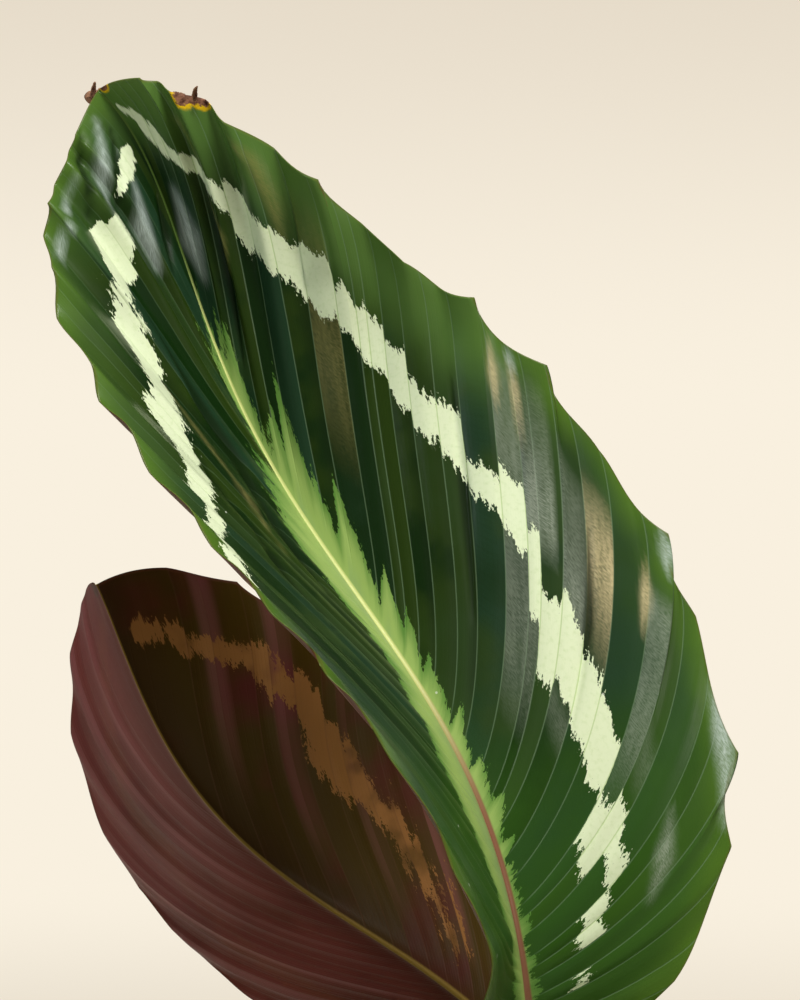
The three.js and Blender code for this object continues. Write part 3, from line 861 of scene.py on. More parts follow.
@dataclass(frozen=True)
class StalkSkin:
    """Stalk: green with a maroon flush at the sheath and the swollen joint, finely ribbed."""

    green: Colour = srgb(112, 128, 58)
    pale: Colour = srgb(150, 158, 86)
    flush: Colour = srgb(104, 52, 46)
    joint: Colour = srgb(96, 116, 52)

    def material(self) -> Material:
        """Builds the material from the stalk's own length and turn attributes."""
        finish = Finish("stalk_skin", specular=0.45)
        w = finish.wiring
        share, turn = finish.value("stalk_share"), finish.value("stalk_turn")
        spot = finish.coordinates()
        inputs = {"Coordinates": spot, "Scale": 45.0, "Grain Scale": 900.0}
        blotch, grain = w.group(mottle_tree(), inputs)
        circle = w.times(turn, 2 * math.pi)
        round_place = w.join(w.math("COSINE", circle), w.math("SINE", circle), w.times(share, 1.5))
        streaks = w.noise(round_place, 9.0, 3.0, 0.6)
        colour = w.mix(w.smooth(streaks, 0.35, 0.7), self.green, self.pale)
        colour = w.mix(w.smooth(share, 0.86, 0.93, 0.0, 0.6), colour, self.joint)
        foot = w.smooth(w.times_plus(blotch, 0.35, share), 0.2, 0.62, 0.85, 0.0)
        colour = w.mix(foot, colour, self.flush)
        flecks = w.group(specks_tree(), {"Coordinates": spot, "Scale": 520.0, "Size": 0.3, "Share": 0.2})
        colour = w.mix(w.times(flecks[0], 0.35), colour, self.flush)
        ribs = w.math("SINE", w.times(circle, 14.0))
        height = w.times_plus(ribs, 0.25, grain)
        roughness = w.times_plus(streaks, 0.25, 0.32)
        return finish.wear(colour, roughness, height, depth=0.18)


@dataclass(frozen=True)
class Terracotta:
    """Unglazed clay: warm orange, turning lines, pale lime bloom and darker damp low down."""

    clay: Colour = srgb(186, 104, 68)
    light: Colour = srgb(206, 134, 96)
    dark: Colour = srgb(142, 74, 48)
    bloom: Colour = srgb(222, 196, 172)

    def material(self) -> Material:
        """Builds the material on object coordinates."""
        finish = Finish("terracotta", specular=0.25)
        w = finish.wiring
        spot = finish.coordinates()
        x, y, z = w.split(spot)
        inputs = {"Coordinates": spot, "Scale": 22.0, "Grain Scale": 1100.0}
        blotch, grain = w.group(mottle_tree(), inputs)
        radius = w.length(x, y)
        lines_at = w.join(w.times(radius, 60.0), 0.0, w.times(z, 420.0))
        turned = w.noise(lines_at, 1.0, 4.0, 0.7)
        colour = w.mix(w.smooth(blotch, 0.36, 0.64), self.clay, self.light)
        colour = w.mix(w.smooth(turned, 0.5, 0.8, 0.0, 0.35), colour, self.dark)
        low = w.smooth(w.times_plus(blotch, 0.05, z), 0.02, 0.06, 0.5, 0.0)
        colour = w.mix(low, colour, self.dark)
        cloud = w.noise(spot, 16.0, 5.0, 0.68)
        bloom = w.smooth(w.times_plus(w.smooth(z, 0.02, 0.1), 0.09, cloud), 0.56, 0.74, 0.0, 0.55)
        colour = w.mix(bloom, colour, self.bloom)
        grit = w.group(specks_tree(), {"Coordinates": spot, "Scale": 420.0, "Size": 0.28, "Share": 0.22})
        colour = w.mix(w.times(grit[0], 0.4), colour, self.dark)
        pits = w.group(specks_tree(), {"Coordinates": spot, "Scale": 260.0, "Size": 0.2, "Share": 0.12})
        height = w.minus(w.times_plus(turned, 0.7, w.times(grain, 0.5)), pits[0])
        return finish.wear(colour, w.times_plus(grain, 0.16, 0.76), height, depth=0.22)


@dataclass(frozen=True)
class Earth:
    """Loose matter of the potting mix in one pair of tones."""

    name: str
    light: Colour
    dark: Colour
    roughness: float = 0.9
    scale: float = 380.0

    def material(self) -> Material:
        """Builds the material on object coordinates, varied by each crumb's own tone."""
        finish = Finish(self.name, specular=0.2)
        w = finish.wiring
        inputs = {"Coordinates": finish.coordinates(), "Scale": self.scale, "Grain Scale": self.scale * 6}
        blotch, grain = w.group(mottle_tree(), inputs)
        share = w.plus(w.times(finish.value("tone"), 0.5), w.minus(blotch, 0.25))
        colour = w.mix(w.smooth(share, 0.2, 0.8), self.dark, self.light)
        roughness = w.times_plus(grain, 0.12, self.roughness - 0.06)
        return finish.wear(colour, roughness, grain, strength=0.9, depth=0.4)


# ---- leaf form
class Half(Enum):
    """The two halves of a blade, seen on its upper face with the tip up."""

    RIGHT = 1
    LEFT = -1


class Streak(Enum):
    """What a marking on the upper face is: one of three painted sheens, a painted ridge highlight or one of
    two painted fold shades.
    """

    WARM = 0
    COOL = 1
    CREASE = 2
    SKY = 3
    RIDGE = 4
    DARK = 5


# Sizes that all blades share, in millimetres or as shares. Those down to PLEAT_SHARPNESS are the drawing's.
THICKNESS = 0.8
NECK = 1.8
NECK_FADE = 6
TIP_HALF_WIDTH = 0.4
KEEL = 1.1
KEEL_TAPER = 0.85
BASE_ROUND = 0.5
SWEEP = 3.4
FORWARD = 1.12
BOW = 1.25
FOLD_AT_NECK = 0.5
FOLD_LENGTH = 0.12
VALLEY = 4
PLEAT_RISE = 1.2
PLEAT_FROM_NECK = 12
PLEAT_TO_TIP = 8
PLEAT_SHARPNESS = 0.45
RING_SLANT = 1.35
COLUMN_CROWDING = 1.2
LAST_COLUMN = 0.993
BASE_CROWDING = 2.0
CREASE_DEPTH = 0.8
RIDGE_RISE = 0.6
RIDGE_FROM = 0.75
BODY_AT_MARGIN = 0.45
BODY_AT_MIDRIB = 0.35
BODY_FADE = 7
BODY_LOST = 0.2
RIB_WIDTH = 1.5
GROOVE = 0.1
VEIN_HEIGHT = 0.22
LEAF_SPACING = 40.0
SEED_STEP = 11.0
PITCH_AT = 0.6
STRIP_AT_BASE = 11.0
STRIP_AT_TIP = 6.5
VEIN_STEP = 0.0004
SPINDLE_END = 0.5
TOOTH_DROP = 0.008
TOOTH_VALLEY = 0.45
PLAIN_RING = ((0.03, 0.19, 1.0), (0.06, 0.23, 3.0), (0.12, 0.36, 4.6), (0.2, 0.5, 5.0), (0.3, 0.62, 5.0),
              (0.45, 0.7, 4.6), (0.6, 0.74, 3.6), (0.75, 0.77, 2.4), (0.86, 0.8, 1.2))
PLAIN_FLARE = ((0, 2), (0.2, 3.6), (0.5, 4.4), (0.65, 3.4), (0.75, 1.4), (0.85, -1), (1, -4))


@dataclass
class BladeForm:
    """Rule that gives the blade's surface, as in the drawing.

    Attributes:
        midrib: Control points of the midrib, base to tip.
        face: Control directions that the upper face looks in.
        half_width: Widest half of the blade.
        tip_round: Roundness of the tip.
        fold: Angle by which each half lifts off the face plane, at four stations.
        curl: Angle by which each half curls from midrib to margin.
        cusps: Place along the margin, bump on the right and bump on the left.
        pleat: Height of the pleats.
        ring: For each half, the ring's middle line as vein start, share along that vein and half width.
        ring_steps: Where the ring begins and ends in some strips of the right half, as shares along the
            veins.
        flare: For each half, pairs of vein start and how far the pale flare reaches from the midrib there.
        swell: Height of the pleats at shares of the midrib, as a factor.
        tip_ends: How quickly the pleats fade towards the tip.
        dry_spots: Dried places as half, place along the margin, share of the vein and radius.
        streaks: For each kind and half, painted sheens, highlights and fold shade as widest half width and
            corners
        of vein start and share.
        sheens: Painted sheens and ridge highlights that fill strips of the right half, as kind, first and
            last vein
        and pairs of share along the vein and strength.
        veins: Starts of the marked side veins, measured along the midrib; where there are none, each pleat
            holds a whole number of them.
    """

    midrib: Table
    face: Table
    half_width: float
    tip_round: float
    fold: dict[Half, Sequence[float]]
    curl: dict[Half, float]
    cusps: Table
    pleat: float
    ring: dict[Half, Table] = field(
        default_factory=lambda: {Half.RIGHT: PLAIN_RING, Half.LEFT: PLAIN_RING})
    ring_steps: dict[int, tuple[float, float]] = field(default_factory=dict)
    flare: dict[Half, Table] = field(
        default_factory=lambda: {Half.RIGHT: PLAIN_FLARE, Half.LEFT: PLAIN_FLARE})
    swell: Table = ((0, 1), (1, 1))
    tip_ends: float = PLEAT_TO_TIP
    dry_spots: Sequence[tuple[Half, float, float, float]] = ((Half.RIGHT, 0.999, 1.0, 1.4),)
    streaks: dict[tuple[Streak, Half], Sequence[Sequence]] = field(default_factory=dict)
    sheens: Sequence[tuple[Streak, float, float, Table]] = ()
    veins: Sequence[float] = ()

    def stations(self) -> Array:
        """Midrib shares where each pleat's first vein starts."""
        places = np.array([cusp[0] for cusp in self.cusps])
        return np.array([0, *(1 - (1 - places) ** (1 / SWEEP)), 1])

    def vein_starts(self) -> Array:
        """Midrib shares where the marked side veins start."""
        if self.veins:
            return np.array([0, *(np.array(self.veins) / self.midrib_length()), 1])
        margin = np.array([0, *(cusp[0] for cusp in self.cusps), 1])
        width = STRIP_AT_BASE + (STRIP_AT_TIP - STRIP_AT_BASE) * (margin[:-1] + margin[1:]) / 2
        counts = np.maximum(1, np.round(np.diff(margin) * 4.5 * self.half_width / width))
        places = np.arange(int(counts.sum()) + 1)
        return np.interp(places, [0, *np.cumsum(counts)], self.stations())

    def midrib_length(self) -> float:
        """Length of the midrib."""
        points = bezier(np.asarray(self.midrib, float), np.linspace(0, 1, 400))
        return float(np.linalg.norm(np.diff(points, axis=0), axis=1).sum())

    def frame_at(self, x: Array) -> tuple[Array, Array, Array, Array]:
        """Place, tangent, upper normal and rightward direction at shares of the midrib.

        Args:
            x: Shares of the midrib.

        Returns:
            Four arrays of vectors in the shape of x.
        """
        t = np.clip(x, 0, 1)
        place = bezier(self.midrib, t)
        before, after = np.maximum(0, t - 1e-4), np.minimum(1, t + 1e-4)
        tangent = unit(bezier(self.midrib, after) - bezier(self.midrib, before))
        face = bezier(self.face, t)
        normal = unit(face - (face * tangent).sum(-1, keepdims=True) * tangent)
        return place, tangent, normal, np.cross(tangent, normal)

    def surface(self, s: Array, u: Array, half: Half) -> dict[str, Array]:
        """Middle surface before pleating.

        Args:
            s: Midrib shares where the veins start.
            u: Shares along those veins.
            half: Which half of the blade.

        Returns:
            Points, directions and leaf coordinates, each in the shape of s and u.
        """
        q = 1 - (1 - s) ** SWEEP
        stations = self.stations()
        phase = np.interp(s, stations, np.arange(len(stations)))
        heights = [0, *(cusp[1 if half is Half.RIGHT else 2] for cusp in self.cusps), 0]
        bump = np.interp(phase, np.arange(len(heights)), heights)
        bump = bump * (1 - 2 * np.abs(phase - np.round(phase))) ** 2
        widest = BASE_ROUND / (BASE_ROUND + self.tip_round)
        outline = q ** BASE_ROUND * (1 - q) ** self.tip_round
        outline = outline / (widest ** BASE_ROUND * (1 - widest) ** self.tip_round)
        width = self.half_width * outline + bump + NECK * (1 - q) ** NECK_FADE + TIP_HALF_WIDTH
        x = s + (q - s) * u ** FORWARD
        y = width * (1 - (1 - u) ** BOW)
        place, _, normal, right = self.frame_at(x)
        opening = FOLD_AT_NECK + (1 - FOLD_AT_NECK) * smoothstep(x, 0, FOLD_LENGTH)
        fold = np.radians(through_four(self.fold[half], x)) * opening
        curl = math.radians(self.curl[half])
        turn = fold + curl * y / self.half_width
        across = (np.sin(turn) - np.sin(fold)) / curl * self.half_width
        lift = (np.cos(fold) - np.cos(turn)) / curl * self.half_width
        lean = normal * np.cos(turn)[..., None] - right * (np.sin(turn) * half.value)[..., None]
        wall = unit(normal + (lean - normal) * smoothstep(y, 0, VALLEY)[..., None])
        part = phase - np.floor(phase)
        folded = 2 * np.abs(2 * part - 1) - 1
        ridge = PLEAT_SHARPNESS * folded + (1 - PLEAT_SHARPNESS) * np.cos(2 * np.pi * part)
        ends = np.clip(PLEAT_FROM_NECK * q, 0, 1) * np.clip(self.tip_ends * (1 - q), 0, 1)
        ends = ends * np.interp(x, *np.array(self.swell).T)
        point = place + (half.value * across)[..., None] * right + lift[..., None] * normal
        return {"point": point, "lean": lean, "wall": wall, "x": x, "y": y, "phase": phase,
                "wave": ridge * u ** PLEAT_RISE * ends, "width": width}


def lower_leaf_form(azimuth: float, reach: float, height: float, length: float, rise: float, droop: float,
                    sway: float) -> BladeForm:
    """Form of a leaf that arches outward over the pot.

    Args:
        azimuth: Way it points, in degrees from +X.
        reach: How far out its blade starts.
        height: How high its blade starts.
        length: Length of the blade.
        rise: Slope at the base, in degrees.
        droop: Slope at the tip, in degrees.
        sway: How far it swings sideways.

    Returns:
        The form.
    """
    way = math.radians(azimuth)
    out = np.array([math.cos(way), math.sin(way), 0])
    aside = np.array([-math.sin(way), math.cos(way), 0])
    midrib = [out * reach + np.array([0, 0, height])]
    for i, slope in enumerate(np.radians([rise, (rise - droop) / 2, -droop])):
        step = out * (length / 3 * math.cos(slope)) + aside * (sway * (i + 1) * 0.5)
        midrib.append(midrib[-1] + step + np.array([0, 0, length / 3 * math.sin(slope)]))
    cusps = [(((i + 1) / 8.6) ** 0.9, 1.5 * (1 + 0.3 * math.sin(5 * i)), 1.5 * (1 + 0.3 * math.cos(4 * i)))
             for i in range(8)]
    face = [aside * (0.18 * math.copysign(1, sway)) + np.array([0, 0, 1]), np.array([0, 0, 1])]
    fold = (24, 20, 16, 14)
    return BladeForm(midrib, face, length * 0.27, 0.68, {Half.RIGHT: fold, Half.LEFT: fold},
                     {Half.RIGHT: -24, Half.LEFT: -24}, cusps, 1.2)


# Markings of the two photographed leaves, read off the photo and rounded; the streaks and sheens are painted
# sheens, highlights and fold shade. FRONT_VEINS is in millimetres along the midrib, the other places are
# shares, and reaches and half widths are in millimetres.
FRONT_VEINS = (3, 5, 8, 10, 13, 15, 17, 21, 24, 26, 31, 35, 40, 43, 45, 50, 56, 61, 67, 72, 76, 79, 85,
               93, 101, 110, 117, 124, 132, 140, 148, 156, 166, 177, 189)
FRONT_RING_STEPS = {
    3: (0.17, 0.24), 5: (0.18, 0.28), 6: (0.22, 0.3), 7: (0.28, 0.4), 8: (0.23, 0.39), 9: (0.21, 0.36),
    10: (0.32, 0.47), 11: (0.33, 0.5), 12: (0.35, 0.53), 13: (0.32, 0.49), 14: (0.43, 0.58), 15: (0.52, 0.66),
    16: (0.52, 0.61), 17: (0.55, 0.7), 18: (0.58, 0.68), 19: (0.62, 0.73), 20: (0.65, 0.77), 21: (0.65, 0.77),
    22: (0.65, 0.78), 23: (0.68, 0.82)}
FRONT_RING_RIGHT = ((0.42, 0.73, 5), (0.47, 0.75, 4.4), (0.51, 0.74, 4), (0.55, 0.75, 3.4),
                    (0.62, 0.78, 2.4), (0.72, 0.75, 1.9), (0.79, 0.81, 1.5), (0.9, 0.78, 0.9))
FRONT_RING_LEFT = ((0.15, 0.92, -1), (0.17, 0.86, 2), (0.19, 0.88, 3), (0.26, 0.74, 4), (0.31, 0.69, 4.6),
                   (0.36, 0.65, 4.6), (0.41, 0.66, 5), (0.44, 0.68, 5), (0.49, 0.74, 1.6),
                   (0.52, 0.76, 3.4), (0.54, 0.76, 5.6), (0.57, 0.77, 6), (0.6, 0.77, 2.6),
                   (0.64, 0.77, -0.6), (0.68, 0.75, 1.6), (0.74, 0.73, 2.2), (0.81, 0.69, 1.4))
REAR_RING_LEFT = ((0.31, 0.12, 1.6), (0.32, 0.25, 3.4), (0.34, 0.38, 4), (0.37, 0.48, 4.6),
                  (0.41, 0.59, 5.4), (0.45, 0.7, 2.6), (0.48, 0.76, 4), (0.54, 0.8, 4.6), (0.6, 0.79, 4),
                  (0.67, 0.75, 3.2), (0.72, 0.76, 2.4), (0.81, 0.68, 2.6))
FRONT_TEETH = ((0.18, 4), (0.21, 5), (0.25, 5), (0.29, 5.2), (0.34, 4.6), (0.37, 6.4), (0.405, 8.6),
               (0.465, 8.6), (0.55, 8), (0.58, 6))
FRONT_FLARE_LEFT = ((0, 2), (0.06, 5), (0.11, 9), (0.14, 11), (0.19, 12.5), (0.26, 9), (0.28, 10),
                    (0.32, 6.5), (0.34, 6), (0.38, 8), (0.42, 10), (0.48, 7.6), (0.51, 6.4), (0.54, 4),
                    (0.6, 1.6), (0.64, 1.2), (0.66, 3.4), (0.68, 3.4), (0.72, 1.4), (0.76, -0.5),
                    (0.85, -2), (1, -4))
FRONT_STREAKS = {
    (Streak.WARM, Half.RIGHT): (
        (1.7, (0.13, 0.86), (0.13, 0.79), (0.13, 0.7)), (1.4, (0.22, 0.96), (0.22, 0.87), (0.22, 0.76)),
        (1.6, (0.24, 0.94), (0.24, 0.86), (0.24, 0.79))),
    (Streak.SKY, Half.RIGHT): (
        (3.2, (0.08, 0.97), (0.07, 0.98), (0.05, 0.97)), (2.2, (0.12, 1), (0.12, 0.94), (0.12, 0.89)),
        (1.4, (0.22, 0.99), (0.22, 0.95), (0.22, 0.92)), (3.8, (0.76, 0.55), (0.74, 0.41), (0.72, 0.32))),
    (Streak.SKY, Half.LEFT): (
        (2.3, (0.78, 0.94), (0.68, 0.85), (0.6, 0.79)), (2.5, (0.74, 0.68), (0.68, 0.62), (0.65, 0.54)),
        (1.2, (0.59, 0.95), (0.52, 0.94), (0.44, 0.94))),
    (Streak.COOL, Half.RIGHT): (
        (2.8, (0.08, 0.6), (0.07, 0.54), (0.06, 0.47)),),
    (Streak.CREASE, Half.RIGHT): (
        (1.6, (0.17, 0.75), (0.17, 0.55), (0.17, 0.34)), (1.6, (0.28, 0.77), (0.28, 0.55), (0.28, 0.28)),
        (1.5, (0.64, 0.72), (0.62, 0.5), (0.63, 0.27))),
    (Streak.DARK, Half.LEFT): (
        (2.6, (0.53, 0.63), (0.51, 0.45), (0.48, 0.35), (0.41, 0.33), (0.36, 0.25)),
        (1.8, (0.39, 0.61), (0.35, 0.55), (0.3, 0.49), (0.25, 0.4)),
        (2.0, (0.7, 0.99), (0.61, 0.92), (0.56, 0.86)), (1.9, (0.8, 0.84), (0.7, 0.77), (0.63, 0.74)),
        (1.8, (0.83, 0.33), (0.76, 0.39), (0.7, 0.41))),
    (Streak.RIDGE, Half.LEFT): (
        (1.4, (0.46, 0.7), (0.43, 0.56), (0.4, 0.43), (0.35, 0.38)),),
    (Streak.RIDGE, Half.RIGHT): (
        (1.3, (0.65, 0.9), (0.63, 0.86), (0.62, 0.8)),
        (2.0, (0.52, 0.96), (0.49, 0.94), (0.48, 0.87), (0.48, 0.77)),
        (0.9, (0.63, 0.73), (0.6, 0.64), (0.61, 0.54)))}
FRONT_SHEENS = (
    (Streak.COOL, 8, 9, ((0.44, 0), (0.49, 0.2), (0.54, 0.3), (0.6, 0))),
    (Streak.COOL, 9, 10, ((0.3, 0), (0.4, 0.2), (0.52, 0.6), (0.7, 0.5), (0.78, 0.8), (0.84, 0))),
    (Streak.WARM, 11, 12, ((0.48, 0), (0.57, 0.35), (0.64, 0.75), (0.72, 0.9), (0.8, 0.45), (0.87, 0))),
    (Streak.COOL, 12, 13, ((0.25, 0), (0.31, 0.4), (0.37, 0))),
    (Streak.COOL, 12, 13, ((0.42, 0), (0.5, 0.8), (0.56, 0.9), (0.66, 0.5), (0.76, 0.4), (0.84, 0))),
    (Streak.COOL, 13.4, 15, ((0.54, 0), (0.6, 1), (0.7, 0.85), (0.78, 0.5), (0.88, 0.3), (0.95, 0))),
    (Streak.COOL, 14, 16, ((0.17, 0), (0.3, 0.5), (0.42, 0.5), (0.54, 0.4), (0.6, 0))),
    (Streak.COOL, 15, 16, ((0.58, 0), (0.63, 0.4), (0.7, 0.65), (0.8, 0.5), (0.9, 0.4), (0.96, 0))),
    (Streak.RIDGE, 23, 24, ((0.3, 0), (0.45, 0.5), (0.6, 0.9), (0.85, 0.5), (0.95, 0))))


def toothed_flare(teeth: Table) -> list[tuple[float, float]]:
    """Reach of a flare whose teeth rise towards the tip and drop where they end.

    Args:
        teeth: Vein start and reach at the end of each tooth.

    Returns:
        Pairs of vein start and reach.
    """
    corners = [(0, 1), (0.1, 2), (0.17, 2)]
    for place, reach in teeth:
        corners.extend([(place, reach), (place + TOOTH_DROP, TOOTH_VALLEY * reach)])
    return [*corners, (0.62, 2.4), (0.66, 4.4), (0.7, 2.6), (0.73, 0.6), (0.8, -2), (1, -5)]


def front_leaf_form() -> BladeForm:
    """Form of the tall leaf that shows its upper face to the front."""
    return BladeForm(
        midrib=((24, -26, 243), (19, -43, 284), (16, -3, 328), (-49, 14, 323), (-29, 21, 390),
                (-57, 20, 416)),
        face=((-0.1, -1, 0.1), (-0.1, -1, 0.2), (0, -1, 0.3)),
        half_width=51,
        tip_round=0.64,
        fold={Half.RIGHT: (0, 2, 24, 58), Half.LEFT: (92, 75, 60, 12)},
        curl={Half.RIGHT: -11, Half.LEFT: 9},
        cusps=((0.05, 0.6, 0.8), (0.14, 1.7, 0.8), (0.198, 2.8, 0.7), (0.29, 1, 1), (0.348, 2.7, 1.2),
               (0.43, 0.2, 1.2), (0.522, 2.8, 0.7), (0.637, 2.9, 0.8), (0.718, 0, 1), (0.832, 3.1, 2.2),
               (0.91, 0.5, 2.6), (0.955, 0.4, 0.4), (0.98, 1.5, 0.7)),
        pleat=1.1,
        ring={Half.RIGHT: FRONT_RING_RIGHT, Half.LEFT: FRONT_RING_LEFT},
        ring_steps=FRONT_RING_STEPS,
        flare={Half.RIGHT: toothed_flare(FRONT_TEETH), Half.LEFT: FRONT_FLARE_LEFT},
        streaks=FRONT_STREAKS,
        sheens=FRONT_SHEENS,
        veins=FRONT_VEINS,
        swell=((0, 0.35), (0.4, 0.55), (0.65, 1.0), (0.8, 1.9), (0.92, 1.9), (1, 0.6)),
        tip_ends=30,
        dry_spots=((Half.RIGHT, 0.936, 1.0, 1.3), (Half.RIGHT, 0.946, 1.0, 1.6),
                   (Half.RIGHT, 0.999, 1.0, 1.0)),
    )


def rear_leaf_form() -> BladeForm:
    """Form of the lower leaf behind it that shows its maroon underside."""
    return BladeForm(
        midrib=((48, 62, 195), (20, 60, 216), (22, 52, 258), (-43, 40, 242), (-46, 33, 290), (-59, 28, 321)),
        face=((0.3, 1, 0.1), (0.1, 1, 0), (-0.35, 1, 0.35)),
        half_width=50,
        tip_round=0.5,
        fold={Half.RIGHT: (20, 33, 46, 86), Half.LEFT: (60, 42, 12, 22)},
        curl={Half.RIGHT: 11, Half.LEFT: -7},
        cusps=((0.1, 0.6, 0.6), (0.2, 0.9, 1), (0.3, 0.8, 0.8), (0.39, 1, 1.2), (0.52, 0.8, 1),
               (0.63, 1.8, 1.2), (0.76, 0.9, 0.8), (0.85, 0.8, 1.2), (0.935, 1, 1.8), (0.98, 0.8, 0.6)),
        pleat=1.2,
        ring={Half.RIGHT: PLAIN_RING, Half.LEFT: REAR_RING_LEFT},
        swell=((0, 0.35), (0.5, 0.4), (1, 0.8)),
        dry_spots=((Half.RIGHT, 0.999, 1.0, 2.6),),
    )


# ---- leaf blades
def make_blade_relief() -> Tree:
    """Geometry nodes that give a flat double sheet its pleats, thickness, midrib keel and side veins."""
    inputs = {"Geometry": "geometry", "Pleat Height": "float", "Thickness": "float", "Keel Height": "float",
              "Vein Height": "float", "Ripple Height": "float", "Upper Finish": "material",
              "Under Finish": "material"}
    w, given, out = new_group("blade_relief", "GeometryNodeTree", inputs, {"Geometry": "geometry"})

    def read(name: str, kind: str = "FLOAT") -> Socket:
        """Named attribute of the sheet."""
        made = w.node("GeometryNodeInputNamedAttribute", {"Name": name}, data_type=kind)
        return next(output for output in made.outputs if output.enabled)

    ripple = w.noise(read("leaf_mm", "FLOAT_VECTOR"), 0.075, 2.0)
    ripple = w.times(w.times(w.minus(ripple, 0.5), read("loose")), 2.0)
    rise = w.times(read("wave"), given["Pleat Height"])
    rise = w.times_plus(ripple, given["Ripple Height"], rise)
    swell = w.times(w.times(read("body"), given["Thickness"]), 0.5)
    swell = w.times_plus(read("keel"), given["Keel Height"], swell)
    swell = w.times_plus(read("rib"), given["Vein Height"], swell)
    offset = w.vector("ADD", w.vector("SCALE", read("lean", "FLOAT_VECTOR"), scale=rise),
                      w.vector("SCALE", read("wall", "FLOAT_VECTOR"), scale=swell))
    moved = w.node("GeometryNodeSetPosition", {"Geometry": given["Geometry"], "Offset": offset})
    whole = w.node("GeometryNodeRealizeInstances", {"Geometry": moved.outputs[0]}).outputs[0]
    upper = w.node("GeometryNodeSetMaterial", {"Geometry": whole, "Material": given["Upper Finish"]})
    is_under = w.node("FunctionNodeCompare", operation="GREATER_THAN", data_type="FLOAT")
    w.feed(is_under.inputs[0], read("under"))
    w.feed(is_under.inputs[1], 0.5)
    under = w.node("GeometryNodeSetMaterial", {"Geometry": upper.outputs[0], "Selection": is_under.outputs[0],
                                               "Material": given["Under Finish"]})
    w.feed(out["Geometry"], under.outputs[0])
    return w.tree


